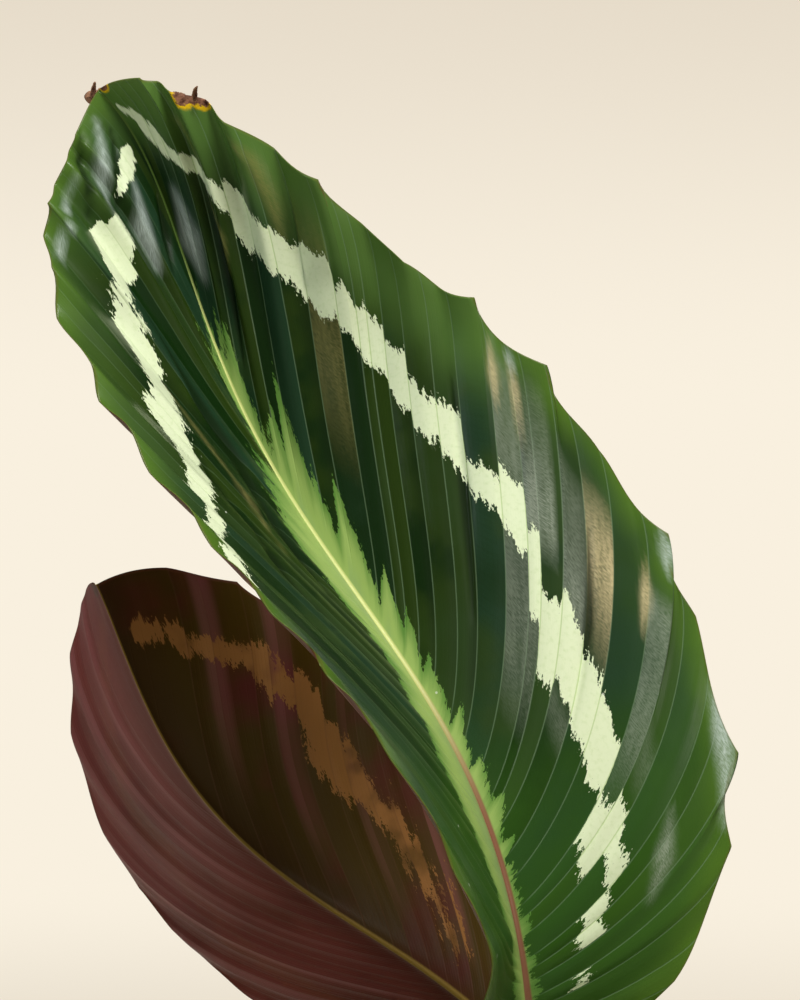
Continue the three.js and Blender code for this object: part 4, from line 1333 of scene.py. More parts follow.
@dataclass
class LeafBlade:
    """One leaf blade as a thin closed shell with its own leaf coordinates.

    Attributes:
        number: Number of the leaf in the drawing.
        form: Rule of its surface.
        rows_per_pleat: Veins built in each pleat.
        columns: Columns built from midrib to margin.
        ripple: Height of loose ripples near the margin.
    """

    number: int
    form: BladeForm
    rows_per_pleat: int = 12
    columns: int = 30
    ripple: float = 0.35

    def rows(self) -> Array:
        """Midrib shares of the veins that are built."""
        edges = self.form.stations()
        found = []
        for i, (low, high) in enumerate(zip(edges, edges[1:])):
            is_tip = i == len(edges) - 2
            count = self.rows_per_pleat * (2 if is_tip or i == 0 else 1)
            crowding = BASE_CROWDING if i == 0 else 1.0
            found.extend(low + (high - low) * (np.arange(count) / count) ** crowding)
        for vein in self.form.vein_starts()[1:-1] if self.form.veins else ():
            found = [place for place in found if abs(place - vein) > 2 * VEIN_STEP or place in edges]
            found.extend([vein - VEIN_STEP, vein + VEIN_STEP])
        return np.sort([*found, 1.0])

    def half_grid(self, rows: Array, half: Half) -> dict[str, Array]:
        """Surface and leaf coordinates of one half, midrib to margin.

        Args:
            rows: Midrib shares of the veins.
            half: Which half.

        Returns:
            Arrays of one row for each vein and one column for each share along it.
        """
        shares = np.append((np.arange(self.columns) / self.columns) ** COLUMN_CROWDING, [LAST_COLUMN, 1.0])
        s, u = np.meshgrid(rows, shares, indexing="ij")
        grid = self.form.surface(s, u, half)
        pleated = grid["point"] + grid["lean"] * (grid["wave"] * self.form.pleat)[..., None]
        spans = np.linalg.norm(np.diff(pleated, axis=1), axis=-1)
        grid["along"] = np.concatenate([np.zeros((len(rows), 1)), np.cumsum(spans, axis=1)], axis=1)
        between, vein_way = np.gradient(pleated, axis=(0, 1))
        spacing = np.linalg.norm(np.cross(between, unit(vein_way)), axis=-1)
        starts = self.form.vein_starts()
        grid["strips"] = np.interp(s, starts, np.arange(len(starts)))
        grid["pitch"] = spacing / np.maximum(np.gradient(grid["strips"], axis=0), 1e-6)
        places = np.cumsum(spacing[:, np.searchsorted(shares, PITCH_AT)])
        grid["strip"] = np.repeat(places[:, None], len(shares), axis=1)
        length = self.form.midrib_length()
        flat = np.stack([grid["x"] * length, grid["y"]], axis=-1)
        grid["edge"] = self.distance_to(flat, flat[:, -1], np.zeros(len(rows)))
        grid["ring"] = RING_SLANT * self.line_distance(flat, half, self.form.ring[half], RING_SLANT)
        steps = self.form.ring_steps if half is Half.RIGHT else {}
        for strip, (inner, outer) in steps.items():
            for row in np.flatnonzero((rows > starts[strip]) & (rows < starts[strip + 1])):
                along = grid["along"][row]
                inner_mm, outer_mm = np.interp([inner, outer], shares, along)
                grid["ring"][row] = np.maximum(inner_mm - along, along - outer_mm)
        grid["flare"] = np.interp(s, *np.array(self.form.flare[half]).T) - grid["y"]
        streaks = self.markings(flat, grid["strips"], u, half)
        grid["streaks"], grid["lines"] = streaks[..., :3], streaks[..., 3:]
        hollow = streaks[..., Streak.CREASE.value] + streaks[..., Streak.DARK.value]
        raised = streaks[..., Streak.RIDGE.value] * (grid["x"] > RIDGE_FROM)
        grid["wave"] = grid["wave"] - CREASE_DEPTH * hollow + RIDGE_RISE * raised
        leaf_apart = np.full(s.shape, LEAF_SPACING * self.number)
        grid["flat"] = np.stack([flat[..., 0], flat[..., 1] * half.value, leaf_apart], axis=-1)
        grid["dry"] = self.dryness(grid["flat"], length)
        grid["s"] = s
        return grid

    def markings(self, flat: Array, strips: Array, u: Array, half: Half) -> Array:
        """How strong each kind of streak is.

        Args:
            flat: Points of the flat leaf.
            strips: Number of the strip between side veins, with the share across it.
            u: Share along the vein.
            half: Which half.

        Returns:
            One strength from 0 to 1 for each kind, along the last axis.
        """
        found = np.zeros((*u.shape, len(Streak)))
        for kind in Streak:
            for widest, *line in self.form.streaks.get((kind, half), ()):
                widths = widest * np.array([SPINDLE_END, *[1.0] * (len(line) - 2), SPINDLE_END])
                spindle = np.column_stack([line, widths])
                near = np.clip(-self.line_distance(flat, half, spindle) / widest, 0, 1)
                found[..., kind.value] = np.maximum(found[..., kind.value], smoothstep(near, 0, 1))
        for kind, low, high, strengths in self.form.sheens if half is Half.RIGHT else ():
            near = np.interp(u, *np.array(strengths).T) * ((strips > low) & (strips < high))
            found[..., kind.value] = np.maximum(found[..., kind.value], near)
        return found

    @staticmethod
    def distance_to(points: Array, line: Array, reach: Array) -> Array:
        """Least distance from flat points to a polyline, less the polyline's own reach there.

        Args:
            points: Points of the flat leaf.
            line: Corners of the polyline.
            reach: Reach at each corner.

        Returns:
            Distances in the shape of the points.
        """
        least = np.full(points.shape[:-1], 1e9)
        for start, end, low, high in zip(line, line[1:], reach, reach[1:]):
            way = end - start
            share = np.clip(((points - start) @ way) / max(way @ way, 1e-9), 0, 1)
            gap = np.linalg.norm(points - start - share[..., None] * way, axis=-1)
            least = np.minimum(least, gap - low - (high - low) * share)
        return least

    def line_distance(self, flat: Array, half: Half, line: Table, slant: float = 1.0) -> Array:
        """Distance to the edge of a band drawn on the blade, negative inside it.

        Args:
            flat: Points of the flat leaf.
            half: Which half.
            line: The band's middle line as vein start, share along that vein and half width.
            slant: Factor by which the half widths are measured aslant.

        Returns:
            Distances in the shape of the points.
        """
        s, u, reach = np.array(line).T
        spots = self.form.surface(s, u, half)
        corners = np.stack([spots["x"] * self.form.midrib_length(), spots["y"]], axis=-1)
        return self.distance_to(flat, corners, reach / slant)

    def dryness(self, flat: Array, length: float) -> Array:
        """Distance to the nearest dried spot as a share of that spot's radius.

        Args:
            flat: Points of the flat leaf.
            length: Length of the midrib.

        Returns:
            Distances in the shape of the points.
        """
        nearest = np.full(flat.shape[:-1], 9.0)
        for half, place, share, radius in self.form.dry_spots:
            start = np.array([1 - (1 - place) ** (1 / SWEEP)])
            spot = self.form.surface(start, np.array([share]), half)
            centre = np.array([spot["x"][0] * length, spot["y"][0] * half.value])
            nearest = np.minimum(nearest, np.linalg.norm(flat[..., :2] - centre, axis=-1) / radius)
        return nearest

    def build(self, relief: Tree, upper: Material,
              under: Material) -> Object:
        """Builds, dresses and seats the blade.

        Args:
            relief: Geometry nodes that shape the sheet.
            upper: Finish of the upper face.
            under: Finish of the lower face.

        Returns:
            The finished piece.
        """
        rows = self.rows()
        left, right = self.half_grid(rows, Half.LEFT), self.half_grid(rows, Half.RIGHT)
        grid = {key: np.concatenate([left[key][:, :0:-1], right[key]], axis=1) for key in right}
        count, span = grid["x"].shape
        below = count * span
        faces, lower = self.shell(count, span)
        points = np.tile(grid["point"].reshape(-1, 3), (2, 1))
        mesh = mesh_from(f"blade_{self.number:02d}", points, faces)
        side = np.repeat([1.0, -1.0], below)

        def both(values: Array) -> Array:
            """The same leaf values for the upper and the lower sheet."""
            return np.tile(values.reshape(below, -1), (2, 1)).squeeze()

        def three(*names: str) -> Array:
            """Three of the grid's values as one vector."""
            return both(np.stack([grid[name] for name in names], axis=-1))

        across = grid["y"] / np.maximum(grid["width"], 1e-3)
        body = BODY_AT_MARGIN + BODY_AT_MIDRIB * np.exp(-grid["y"] / BODY_FADE)
        rib_shape = np.exp(-(grid["y"] / (RIB_WIDTH - grid["x"])) ** 2)
        line = (1 - np.abs(np.sin(np.pi * grid["strips"]))) * smoothstep(grid["y"], 1.5, 6)
        line = line * smoothstep(grid["edge"], 0, 4)
        grid["strip"] = grid["strip"] * np.where(np.arange(span) < span // 2, -1, 1)
        grid["seed"] = np.full(grid["x"].shape, SEED_STEP * self.number)
        keel = both(rib_shape * (1 - KEEL_TAPER * grid["s"]))
        values = {
            "wall": both(grid["wall"]) * side[:, None], "rib": both(line) * -side,
            "keel": np.where(side < 0, keel, both(rib_shape) * GROOVE),
            "body": both(body - BODY_LOST * smoothstep(across, 0.75, 1)),
            "loose": both(smoothstep(across, 0.3, 1)), "leaf_mm": both(grid["flat"]),
            "pleat": both(grid["phase"]), "vein_mm": three("strip", "along", "seed"),
            "marks": three("ring", "y", "edge"), "strips": three("strips", "pitch", "x")}
        for name in ("lean", "wave", "streaks", "lines", "dry", "flare"):
            values[name] = both(grid[name])
        for name, value in values.items():
            put(mesh, name, value)
        put(mesh, "under", lower, "FACE")
        owner = link(f"leaf_blade_{self.number:02d}_skin", mesh)
        nodes_modifier(owner, relief, {
            "Pleat Height": self.form.pleat * MM, "Thickness": THICKNESS * MM, "Keel Height": KEEL * MM,
            "Vein Height": VEIN_HEIGHT * MM, "Ripple Height": self.ripple * MM, "Upper Finish": upper,
            "Under Finish": under})
        return seat(applied(owner), "leaf", f"leaf_blade_{self.number:02d}")

    @staticmethod
    def shell(count: int, span: int) -> tuple[list[list[int]], Array]:
        """Faces of an upper and a lower sheet joined round their rim.

        Args:
            count: Rows of each sheet.
            span: Columns of each sheet.

        Returns:
            The faces, and for each face 1 if it is of the lower sheet and 0 if not.
        """
        numbers = np.arange(count * span).reshape(count, span)
        a, b, c, d = numbers[:-1, :-1], numbers[:-1, 1:], numbers[1:, :-1], numbers[1:, 1:]
        top = np.stack([a, b, d, c], axis=-1).reshape(-1, 4)
        bottom = np.stack([a, c, d, b], axis=-1).reshape(-1, 4) + count * span
        loop = np.concatenate([numbers[0], numbers[1:, -1], numbers[-1, -2::-1], numbers[-2:0:-1, 0]])
        after = np.roll(loop, -1)
        rim = np.stack([after, loop, loop + count * span, after + count * span], axis=-1)
        lower = np.repeat([0.0, 1.0, 0.0], [len(top), len(bottom), len(rim)])
        return np.concatenate([top, bottom, rim]).tolist(), lower


@dataclass
class DriedScrap:
    """A small scrap of dead leaf that grows from the blade at its root and curls by some degrees."""

    name: str
    root: Array
    way: Array
    across: Array
    length: float
    width: float
    curl: float
    rows: int = 18
    columns: int = 9
    cup: float = 0.35
    ripple: float = 0.12
    wall: float = 0.22

    def build(self, finish: Material) -> Object:
        """Builds, dresses and seats the scrap.

        Args:
            finish: Its material.

        Returns:
            The finished piece.
        """
        way = unit(self.way)
        across = unit(self.across - (self.across @ way) * way)
        rise = np.cross(way, across)
        curl = math.radians(self.curl)
        tear = np.random.default_rng(len(self.name)).uniform(0.75, 1.0, self.rows)
        points = []
        for i in range(self.rows):
            t = i / (self.rows - 1)
            turn = curl * t ** 1.3
            centre = self.root + way * (self.length * math.sin(turn) / curl)
            centre = centre + rise * (self.length * (1 - math.cos(turn)) / curl)
            reach = self.width * (1 - t ** 2.2) ** 0.6 * tear[i] / 2 + 0.08
            for share in 2 * np.arange(self.columns) / (self.columns - 1) - 1:
                cup = rise * (self.cup * self.width * share * share * (1 - 0.4 * t))
                ripple = rise * (self.ripple * math.sin(7 * share + 5 * t))
                points.append(centre + across * (reach * share) + cup * 0.8 + ripple)
        owner = skin_from(self.name, np.array(points), sheet_faces(self.rows, self.columns), finish)
        thicken(owner, self.wall)
        return seat(applied(owner), "leaf")


# ---- stalks
CROWN_A = (10.0, -12.0)
CROWN_B = (-6.0, 27.0)
STALK_RING = 9.0
STALK_FOOT = 84.35
STALK_SIZES = {"Foot Radius": 3.1, "Middle Radius": 1.8, "Joint Radius": 2.4, "Joint Length": 16.0,
               "End Radius": 2.0, "Neck Length": 5.0, "Neck Radius": 0.9}


def make_stalk_sweep() -> Tree:
    """Geometry nodes that sweep a stalk: sheathing foot, slim middle, swollen joint, neck in the blade."""
    inputs = {"Geometry": "geometry", **dict.fromkeys(STALK_SIZES, "float"), "Rings": "int", "Sides": "int",
              "Finish": "material"}
    w, given, out = new_group("stalk_sweep", "GeometryNodeTree", inputs, {"Geometry": "geometry"})
    even = w.node("GeometryNodeResampleCurve", {"Curve": given["Geometry"], "Count": given["Rings"]})
    place = w.node("GeometryNodeSplineParameter")
    total = w.node("GeometryNodeSplineLength").outputs["Length"]
    stem = w.minus(total, given["Neck Length"])
    share = w.math("DIVIDE", place.outputs["Length"], stem)
    foot = w.times(w.minus(given["Foot Radius"], given["Middle Radius"]), w.smooth(share, 0.1, 0.6, 1.0, 0.0))
    half = w.math("DIVIDE", given["Joint Length"], 2.0)
    from_end = w.minus(stem, place.outputs["Length"])
    away = w.math("DIVIDE", w.math("ABSOLUTE", w.minus(from_end, half)), half)
    bulge = w.math("SQRT", w.minus(1.0, away, clamp=True))
    joint = w.times(w.minus(given["Joint Radius"], given["Middle Radius"]), bulge)
    end = w.times(w.minus(given["End Radius"], given["Middle Radius"]), w.smooth(share, 0.9, 1.0))
    radius = w.plus(w.plus(given["Middle Radius"], foot), w.plus(joint, end))
    past = w.math("DIVIDE", w.times(from_end, -1.0), given["Neck Length"])
    slim = w.times(w.smooth(past, 0.0, 1.0), w.minus(given["Neck Radius"], given["End Radius"]))
    radius = w.plus(radius, slim)
    marked = w.store(even.outputs[0], "stalk_share", share)
    ring = w.node("GeometryNodeCurvePrimitiveCircle", {"Resolution": given["Sides"], "Radius": 1.0})
    turn = w.node("GeometryNodeSplineParameter").outputs["Factor"]
    profile = w.store(ring.outputs[0], "stalk_turn", turn)
    tube = w.node("GeometryNodeCurveToMesh", {"Curve": marked, "Profile Curve": profile, "Scale": radius,
                                              "Fill Caps": True})
    smooth = w.node("GeometryNodeSetShadeSmooth", {"Geometry": tube.outputs[0], "Shade Smooth": True})
    return end_tree(w, out, smooth.outputs[0], given["Finish"])


@dataclass
class LeafStalk:
    """One stalk, from its foot on the rootstock to the blade's neck, with a bend under the blade."""

    number: int
    form: BladeForm
    foot: Sequence[float]
    bend: float
    rings: int = 72
    sides: int = 24

    def path(self) -> Array:
        """Points along the stalk's middle line and a little way under the midrib."""
        place, tangent, _, _ = self.form.frame_at(np.array([0.0]))
        top = place[0] - tangent[0] * 0.35
        foot = np.array([*self.foot, STALK_FOOT])
        upright = np.array([foot[0], foot[1], (foot[2] + top[2]) / 2])
        stem = bezier([foot, upright, top - tangent[0] * self.bend, top], np.linspace(0, 1, 60))
        shares = np.linspace(0, STALK_SIZES["Neck Length"] / self.form.midrib_length(), 5)[1:]
        points, _, normals, _ = self.form.frame_at(shares)
        return np.concatenate([stem, points - normals * 0.5])

    def build(self, sweep: Tree, finish: Material) -> Object:
        """Builds, dresses and seats the stalk.

        Args:
            sweep: Geometry nodes that sweep it.
            finish: Its material.

        Returns:
            The finished piece.
        """
        path = self.path() * MM
        curve = bpy.data.curves.new(f"stalk_line_{self.number:02d}", "CURVE")
        curve.dimensions = "3D"
        spline = curve.splines.new("POLY")
        spline.points.add(len(path) - 1)
        spline.points.foreach_set("co", np.append(path, np.ones((len(path), 1)), axis=1).ravel())
        owner = link(f"leaf_stalk_{self.number:02d}_skin", curve)
        sizes = {name: size * MM for name, size in STALK_SIZES.items()}
        nodes_modifier(owner, sweep, {**sizes, "Rings": self.rings, "Sides": self.sides, "Finish": finish})
        return seat(applied(owner), "stalk", f"leaf_stalk_{self.number:02d}")


@dataclass
class RolledLeaf:
    """The young leaf, still rolled, on its short stem."""

    azimuth: float = 246
    lean: float = 8
    height: float = 205
    turns: float = 2.4
    stem_radius: float = 2.5
    radius: float = 3.9
    rings: int = 70
    around: int = 90
    wall: float = 0.3

    def build(self, stem: Material, blade: Material) -> Object:
        """Builds, dresses and seats the rolled leaf.

        Args:
            stem: Material of the stem.
            blade: Material of the rolled blade.

        Returns:
            The finished piece.
        """
        angle = math.radians(self.azimuth)
        way = np.array([math.cos(angle), math.sin(angle), 0])
        foot = np.array([*CROWN_B, STALK_FOOT]) + STALK_RING * way
        tip = foot + self.lean * way
        tip[2] = self.height
        middle = np.array([foot[0], foot[1], (foot[2] + tip[2]) / 2])
        rings, around = self.rings, self.around
        line = bezier([foot, middle, tip], np.linspace(0, 1, rings))
        points = []
        for i, centre in enumerate(line):
            t = i / (rings - 1)
            roll = float(smoothstep(np.array(t), 0.3, 0.46))
            taper = 1 - ((t - 0.5) / 0.5) ** 2 * 0.85 if t > 0.5 else 1
            fat = self.stem_radius * (1 - t) ** 0.35 * (1 - roll) + roll * self.radius * taper
            for j in range(around):
                share = j / (around - 1)
                angle = 2 * math.pi * self.turns * share + 1.2 * t
                reach = fat * (0.32 + 0.68 * share) * (0.55 + 0.45 * roll)
                skew = 16 * roll * (share - 0.5) * (1 - t)
                offset = np.array([reach * math.cos(angle), reach * math.sin(angle), skew * 0.25])
                points.append(centre + offset)
        faces = sheet_faces(rings, around)
        owner = link("rolled_leaf_skin", mesh_from("rolled_leaf", np.array(points), faces))
        share = np.repeat(np.linspace(0, 1, rings), around)
        put(owner.data, "stalk_share", share)
        put(owner.data, "stalk_turn", np.tile(np.linspace(0, self.turns, around), rings))
        owner.data.materials.append(stem)
        owner.data.materials.append(blade)
        numbers = np.array([0 if share[face[0]] < 0.4 else 1 for face in faces], np.int32)
        owner.data.polygons.foreach_set("material_index", numbers)
        thicken(owner, self.wall)
        return seat(applied(owner), "stalk", "rolled_leaf")


# ---- pot and soil
def revolve(profile: Sequence[tuple[float, float]], segments: int) -> tuple[Array, list[list[int]]]:
    """Closed solid of revolution.

    Args:
        profile: Radius and height pairs that start and end on the axis.
        segments: Faces round the axis.

    Returns:
        Points and faces, pointing outwards for a profile that runs from the bottom to the top outside.
    """
    rings = [pair for pair in profile if pair[0] > 1e-6]
    angles = 2 * np.pi * np.arange(segments) / segments
    points = [(0.0, 0.0, profile[0][1])]
    for radius, height in rings:
        points.extend(zip(radius * np.cos(angles), radius * np.sin(angles), np.full(segments, height)))
    points.append((0.0, 0.0, profile[-1][1]))
    last = len(points) - 1
    faces = []
    for k in range(segments):
        n = (k + 1) % segments
        faces.append([0, 1 + n, 1 + k])
        for ring in range(len(rings) - 1):
            low, high = 1 + ring * segments, 1 + (ring + 1) * segments
            faces.append([low + k, low + n, high + n, high + k])
        faces.append([last, last - segments + k, last - segments + n])
    return np.array(points), faces


@dataclass
class Pot:
    """Plain flower pot with a collar under its rim and drain holes in its floor."""

    foot_radius: float = 49
    body_top_radius: float = 65
    body_height: float = 99
    collar_radius: float = 70
    rim_radius: float = 72.5
    height: float = 126
    edge: float = 1.6
    inner_floor_radius: float = 45
    inner_shoulder_radius: float = 60.5
    inner_rim_radius: float = 66.4
    floor: float = 8.5
    drain_radius: float = 6
    drain_ring: float = 28
    drains: int = 3
    drill_low: float = -5
    drill_high: float = 25
    drill_sides: int = 40
    segments: int = 144
    stretch: float = 9
    sharp_angle: float = 40

    def corners(self) -> list[tuple[float, float, float]]:
        """Radius, height and rounding of each corner of the wall."""
        edge = self.edge
        return [(self.foot_radius + edge * 0.9, 0, 1.8), (self.body_top_radius, self.body_height, 1.4),
                (self.collar_radius - 0.2, self.body_height + edge * 0.7, 1.6),
                (self.rim_radius, self.height, 2.2), (self.inner_rim_radius, self.height, 2.4),
                (self.inner_shoulder_radius, self.body_height + edge, 3.0),
                (self.inner_floor_radius, self.floor, 5.0)]

    def profile(self) -> list[tuple[float, float]]:
        """Wall profile with each corner rounded, from the middle below to the middle of the floor inside."""
        corners = self.corners()
        ends = [(0.0, 0.0), *[(r, z) for r, z, _ in corners], (0.0, self.floor)]
        line = [(0.0, 0.0), (self.foot_radius * 0.55, 0.0)]
        for before, (radius, height, rounding), after in zip(ends, corners, ends[2:]):
            corner = np.array([radius, height])
            arrive, leave = np.array(before) - corner, np.array(after) - corner
            reach = min(rounding, np.linalg.norm(arrive) / 2.2, np.linalg.norm(leave) / 2.2)
            start, end = corner + unit(arrive) * reach, corner + unit(leave) * reach
            for t in np.linspace(0, 1, 7):
                line.append(tuple((1 - t) ** 2 * start + 2 * t * (1 - t) * corner + t * t * end))
        line.extend([(self.inner_floor_radius * 0.5, self.floor), (0.0, self.floor)])
        return line

    def dense(self, line: list[tuple[float, float]]) -> list[tuple[float, float]]:
        """Profile with long stretches cut into shorter ones."""
        found = [line[0]]
        for start, end in zip(line, line[1:]):
            pieces = max(1, int(math.hypot(end[0] - start[0], end[1] - start[1]) / self.stretch))
            for k in range(1, pieces + 1):
                share = k / pieces
                found.append((start[0] + (end[0] - start[0]) * share, start[1] + (end[1] - start[1]) * share))
        return found

    def build(self, finish: Material) -> Object:
        """Builds, dresses and seats the pot.

        Args:
            finish: Its material.

        Returns:
            The finished piece.
        """
        points, faces = revolve(self.dense(self.profile()), self.segments)
        owner = skin_from("pot_clay", points, faces, finish)
        line = [(0.0, self.drill_low), (self.drain_radius, self.drill_low),
                (self.drain_radius, self.drill_high), (0.0, self.drill_high)]
        drill_points, drill_faces = revolve(line, self.drill_sides)
        drills = []
        for i in range(self.drains):
            way = 2 * math.pi * (i + 0.5) / self.drains
            place = self.drain_ring * np.array([math.cos(way), math.sin(way), 0])
            drill = link(f"drill_{i}", mesh_from(f"drill_{i}", drill_points + place, drill_faces))
            cut = owner.modifiers.new(f"drain_{i}", "BOOLEAN")
            cut.operation = "DIFFERENCE"
            cut.solver = "EXACT"
            cut.object = drill
            drills.append(drill)
        made = applied(owner)
        for drill in drills:
            bpy.data.objects.remove(drill)
        made.data.materials.clear()
        made.data.materials.append(finish)
        made.data.shade_smooth()
        made.data.set_sharp_from_angle(angle=math.radians(self.sharp_angle))
        return seat(made, "terracotta", "pot")


def make_crumb_scatter() -> Tree:
    """Geometry nodes that scatter one kind of crumb over the soil."""
    inputs = {"Geometry": "geometry", "Crumb": "object", "Spacing": "float", "Density": "float",
              "Smallest": "float", "Largest": "float", "Flatness": "float", "Seed": "int",
              "Finish": "material"}
    w, given, out = new_group("crumb_scatter", "GeometryNodeTree", inputs, {"Geometry": "geometry"})
    where = {"Mesh": given["Geometry"], "Distance Min": given["Spacing"], "Density Max": given["Density"],
             "Seed": given["Seed"]}
    spots = w.node("GeometryNodeDistributePointsOnFaces", where, distribute_method="POISSON")
    crumb = w.node("GeometryNodeObjectInfo", {"Object": given["Crumb"]})
    turn = w.node("FunctionNodeRandomValue", {"Seed": given["Seed"]}, data_type="FLOAT_VECTOR")
    w.feed(turn.inputs[0], (0.0, 0.0, 0.0))
    w.feed(turn.inputs[1], (FULL_TURN, FULL_TURN, FULL_TURN))
    size = w.random(given["Smallest"], given["Largest"], w.plus(given["Seed"], 5.0))
    placed = w.node("GeometryNodeInstanceOnPoints", {
        "Points": spots.outputs["Points"], "Instance": crumb.outputs["Geometry"], "Rotation": turn.outputs[0],
        "Scale": w.join(size, size, w.times(size, given["Flatness"]))})
    marked = w.store(placed.outputs[0], "tone", w.random(0.0, 1.0, 3), "INSTANCE")
    return end_tree(w, out, marked, given["Finish"])


@dataclass(frozen=True)
class CrumbKind:
    """One kind of loose matter on the soil, in millimetres; density is in crumbs on a square metre."""

    name: str
    spacing: float
    density: float
    smallest: float
    largest: float
    flatness: float
    detail: int
    seed: int


@dataclass
class Soil:
    """Potting mix: an uneven bed with crumbs, bark chips and perlite on it."""

    pot: Pot
    top: float = 110
    mound: float = 2.4
    bump: float = 1.6
    gap: float = 0.35
    foot_bevel: tuple[float, float] = (2, 2.5)
    rings: int = 34
    segments: int = 120
    tone: float = 0.35
    sheet_rings: int = 26
    sheet_turns: int = 72
    sheet_inset: float = 1.5
    sheet_drop: float = 0.15

    def edge_radius(self) -> float:
        """Radius of the soil's top, just inside the pot."""
        shoulder = self.pot.body_height + self.pot.edge
        share = (self.top - shoulder) / (self.pot.height - self.pot.edge - shoulder)
        spread = self.pot.inner_rim_radius - self.pot.inner_shoulder_radius
        return self.pot.inner_shoulder_radius + spread * share - self.gap

    def height_at(self, x: Array, y: Array) -> Array:
        """Height of the top, with the drawing's mound and waves and finer lumps.

        Args:
            x: Places along X.
            y: Places along Y.

        Returns:
            Heights.
        """
        radius = np.hypot(x, y) / self.edge_radius()
        wave = np.sin(0.19 * x + 0.7) * np.cos(0.23 * y) + 0.6 * np.sin(0.31 * (x - y))
        lumps = 0.35 * np.sin(0.8 * x + 1.3 * np.sin(0.5 * y)) * np.cos(0.9 * y)
        lumps = lumps + 0.2 * np.sin(1.9 * x + 2.3 * y)
        inner = 1 - smoothstep(radius, 0.78, 1.0)
        return self.top + inner * (self.mound + self.bump * wave + lumps)

    def bed(self, finish: Material) -> Object:
        """The bed itself, down to the pot's floor.

        Args:
            finish: Its material.

        Returns:
            The finished piece.
        """
        edge = self.edge_radius()
        bottom = self.pot.floor + self.gap
        foot = self.pot.inner_floor_radius - self.gap
        inward, upward = self.foot_bevel
        profile = [(0.0, bottom), (foot - inward, bottom), (foot, bottom + upward),
                   (self.pot.inner_shoulder_radius - self.gap, self.pot.body_height + self.pot.edge)]
        profile += [(edge * share, self.top) for share in np.linspace(1, 0.02, self.rings)]
        profile.append((0.0, self.top))
        points, faces = revolve(profile, self.segments)
        is_top = points[:, 2] > self.top - 1e-6
        points[is_top, 2] = self.height_at(points[is_top, 0], points[is_top, 1])
        made = skin_from("soil_bed", points, faces, finish)
        put(made.data, "tone", np.full(len(points), self.tone))
        return seat(made, "soil", "soil")

    def ground(self) -> Object:
        """Sheet over the top that the crumbs are scattered on."""
        edge, rings = self.edge_radius() - self.sheet_inset, self.sheet_rings
        grid, faces = disc([edge * (i + 1) / rings for i in range(rings)], self.sheet_turns)
        grid[:, 2] = self.height_at(grid[:, 0], grid[:, 1]) - self.sheet_drop
        return link("ground_sheet", mesh_from("ground_sheet", grid, faces))

    def crumb_shape(self, kind: CrumbKind) -> Object:
        """An angular lump of radius one, in metres.

        Args:
            kind: The kind of crumb.

        Returns:
            The lump, not part of the plant.
        """
        shape = bmesh.new()
        bmesh.ops.create_icosphere(shape, subdivisions=kind.detail, radius=1.0)
        generator = np.random.default_rng(kind.seed)
        for vertex in shape.verts:
            vertex.co *= generator.uniform(0.72, 1.15)
        mesh = bpy.data.meshes.new(f"{kind.name}_shape")
        shape.to_mesh(mesh)
        shape.free()
        return link(f"{kind.name}_shape", mesh)

    def scatter(self, kind: CrumbKind, tree: Tree, finish: Material) -> Object:
        """Scatters one kind of crumb over the bed.

        Args:
            kind: What is scattered.
            tree: Geometry nodes that scatter it.
            finish: Its material.

        Returns:
            The finished piece.
        """
        owner = self.ground()
        owner.name = kind.name
        shape = self.crumb_shape(kind)
        nodes_modifier(owner, tree, {
            "Crumb": shape, "Spacing": kind.spacing * MM, "Density": kind.density,
            "Smallest": kind.smallest * MM, "Largest": kind.largest * MM, "Flatness": kind.flatness,
            "Seed": kind.seed, "Finish": finish})
        made = applied(owner)
        bpy.data.objects.remove(shape)
        return seat(made, "soil")


# ---- studio
@dataclass(frozen=True)
class Softbox:
    """A soft square studio light; lengths are in metres and power is in watts."""

    name: str
    place: tuple[float, float, float]
    size: float
    power: float
    colour: tuple[float, float, float] = (1.0, 1.0, 1.0)

    def build(self, target: Vector) -> None:
        """Adds the light, turned to the target and unseen by the camera.

        Args:
            target: Where it points, in metres.
        """
        data = bpy.data.lights.new(self.name, "AREA")
        data.shape = "SQUARE"
        data.size = self.size
        data.energy = self.power
        data.color = self.colour
        lamp = link(self.name, data)
        lamp.location = self.place
        lamp.rotation_mode = "QUATERNION"
        lamp.rotation_quaternion = (target - Vector(self.place)).to_track_quat("-Z", "Y")
        lamp.visible_camera = False


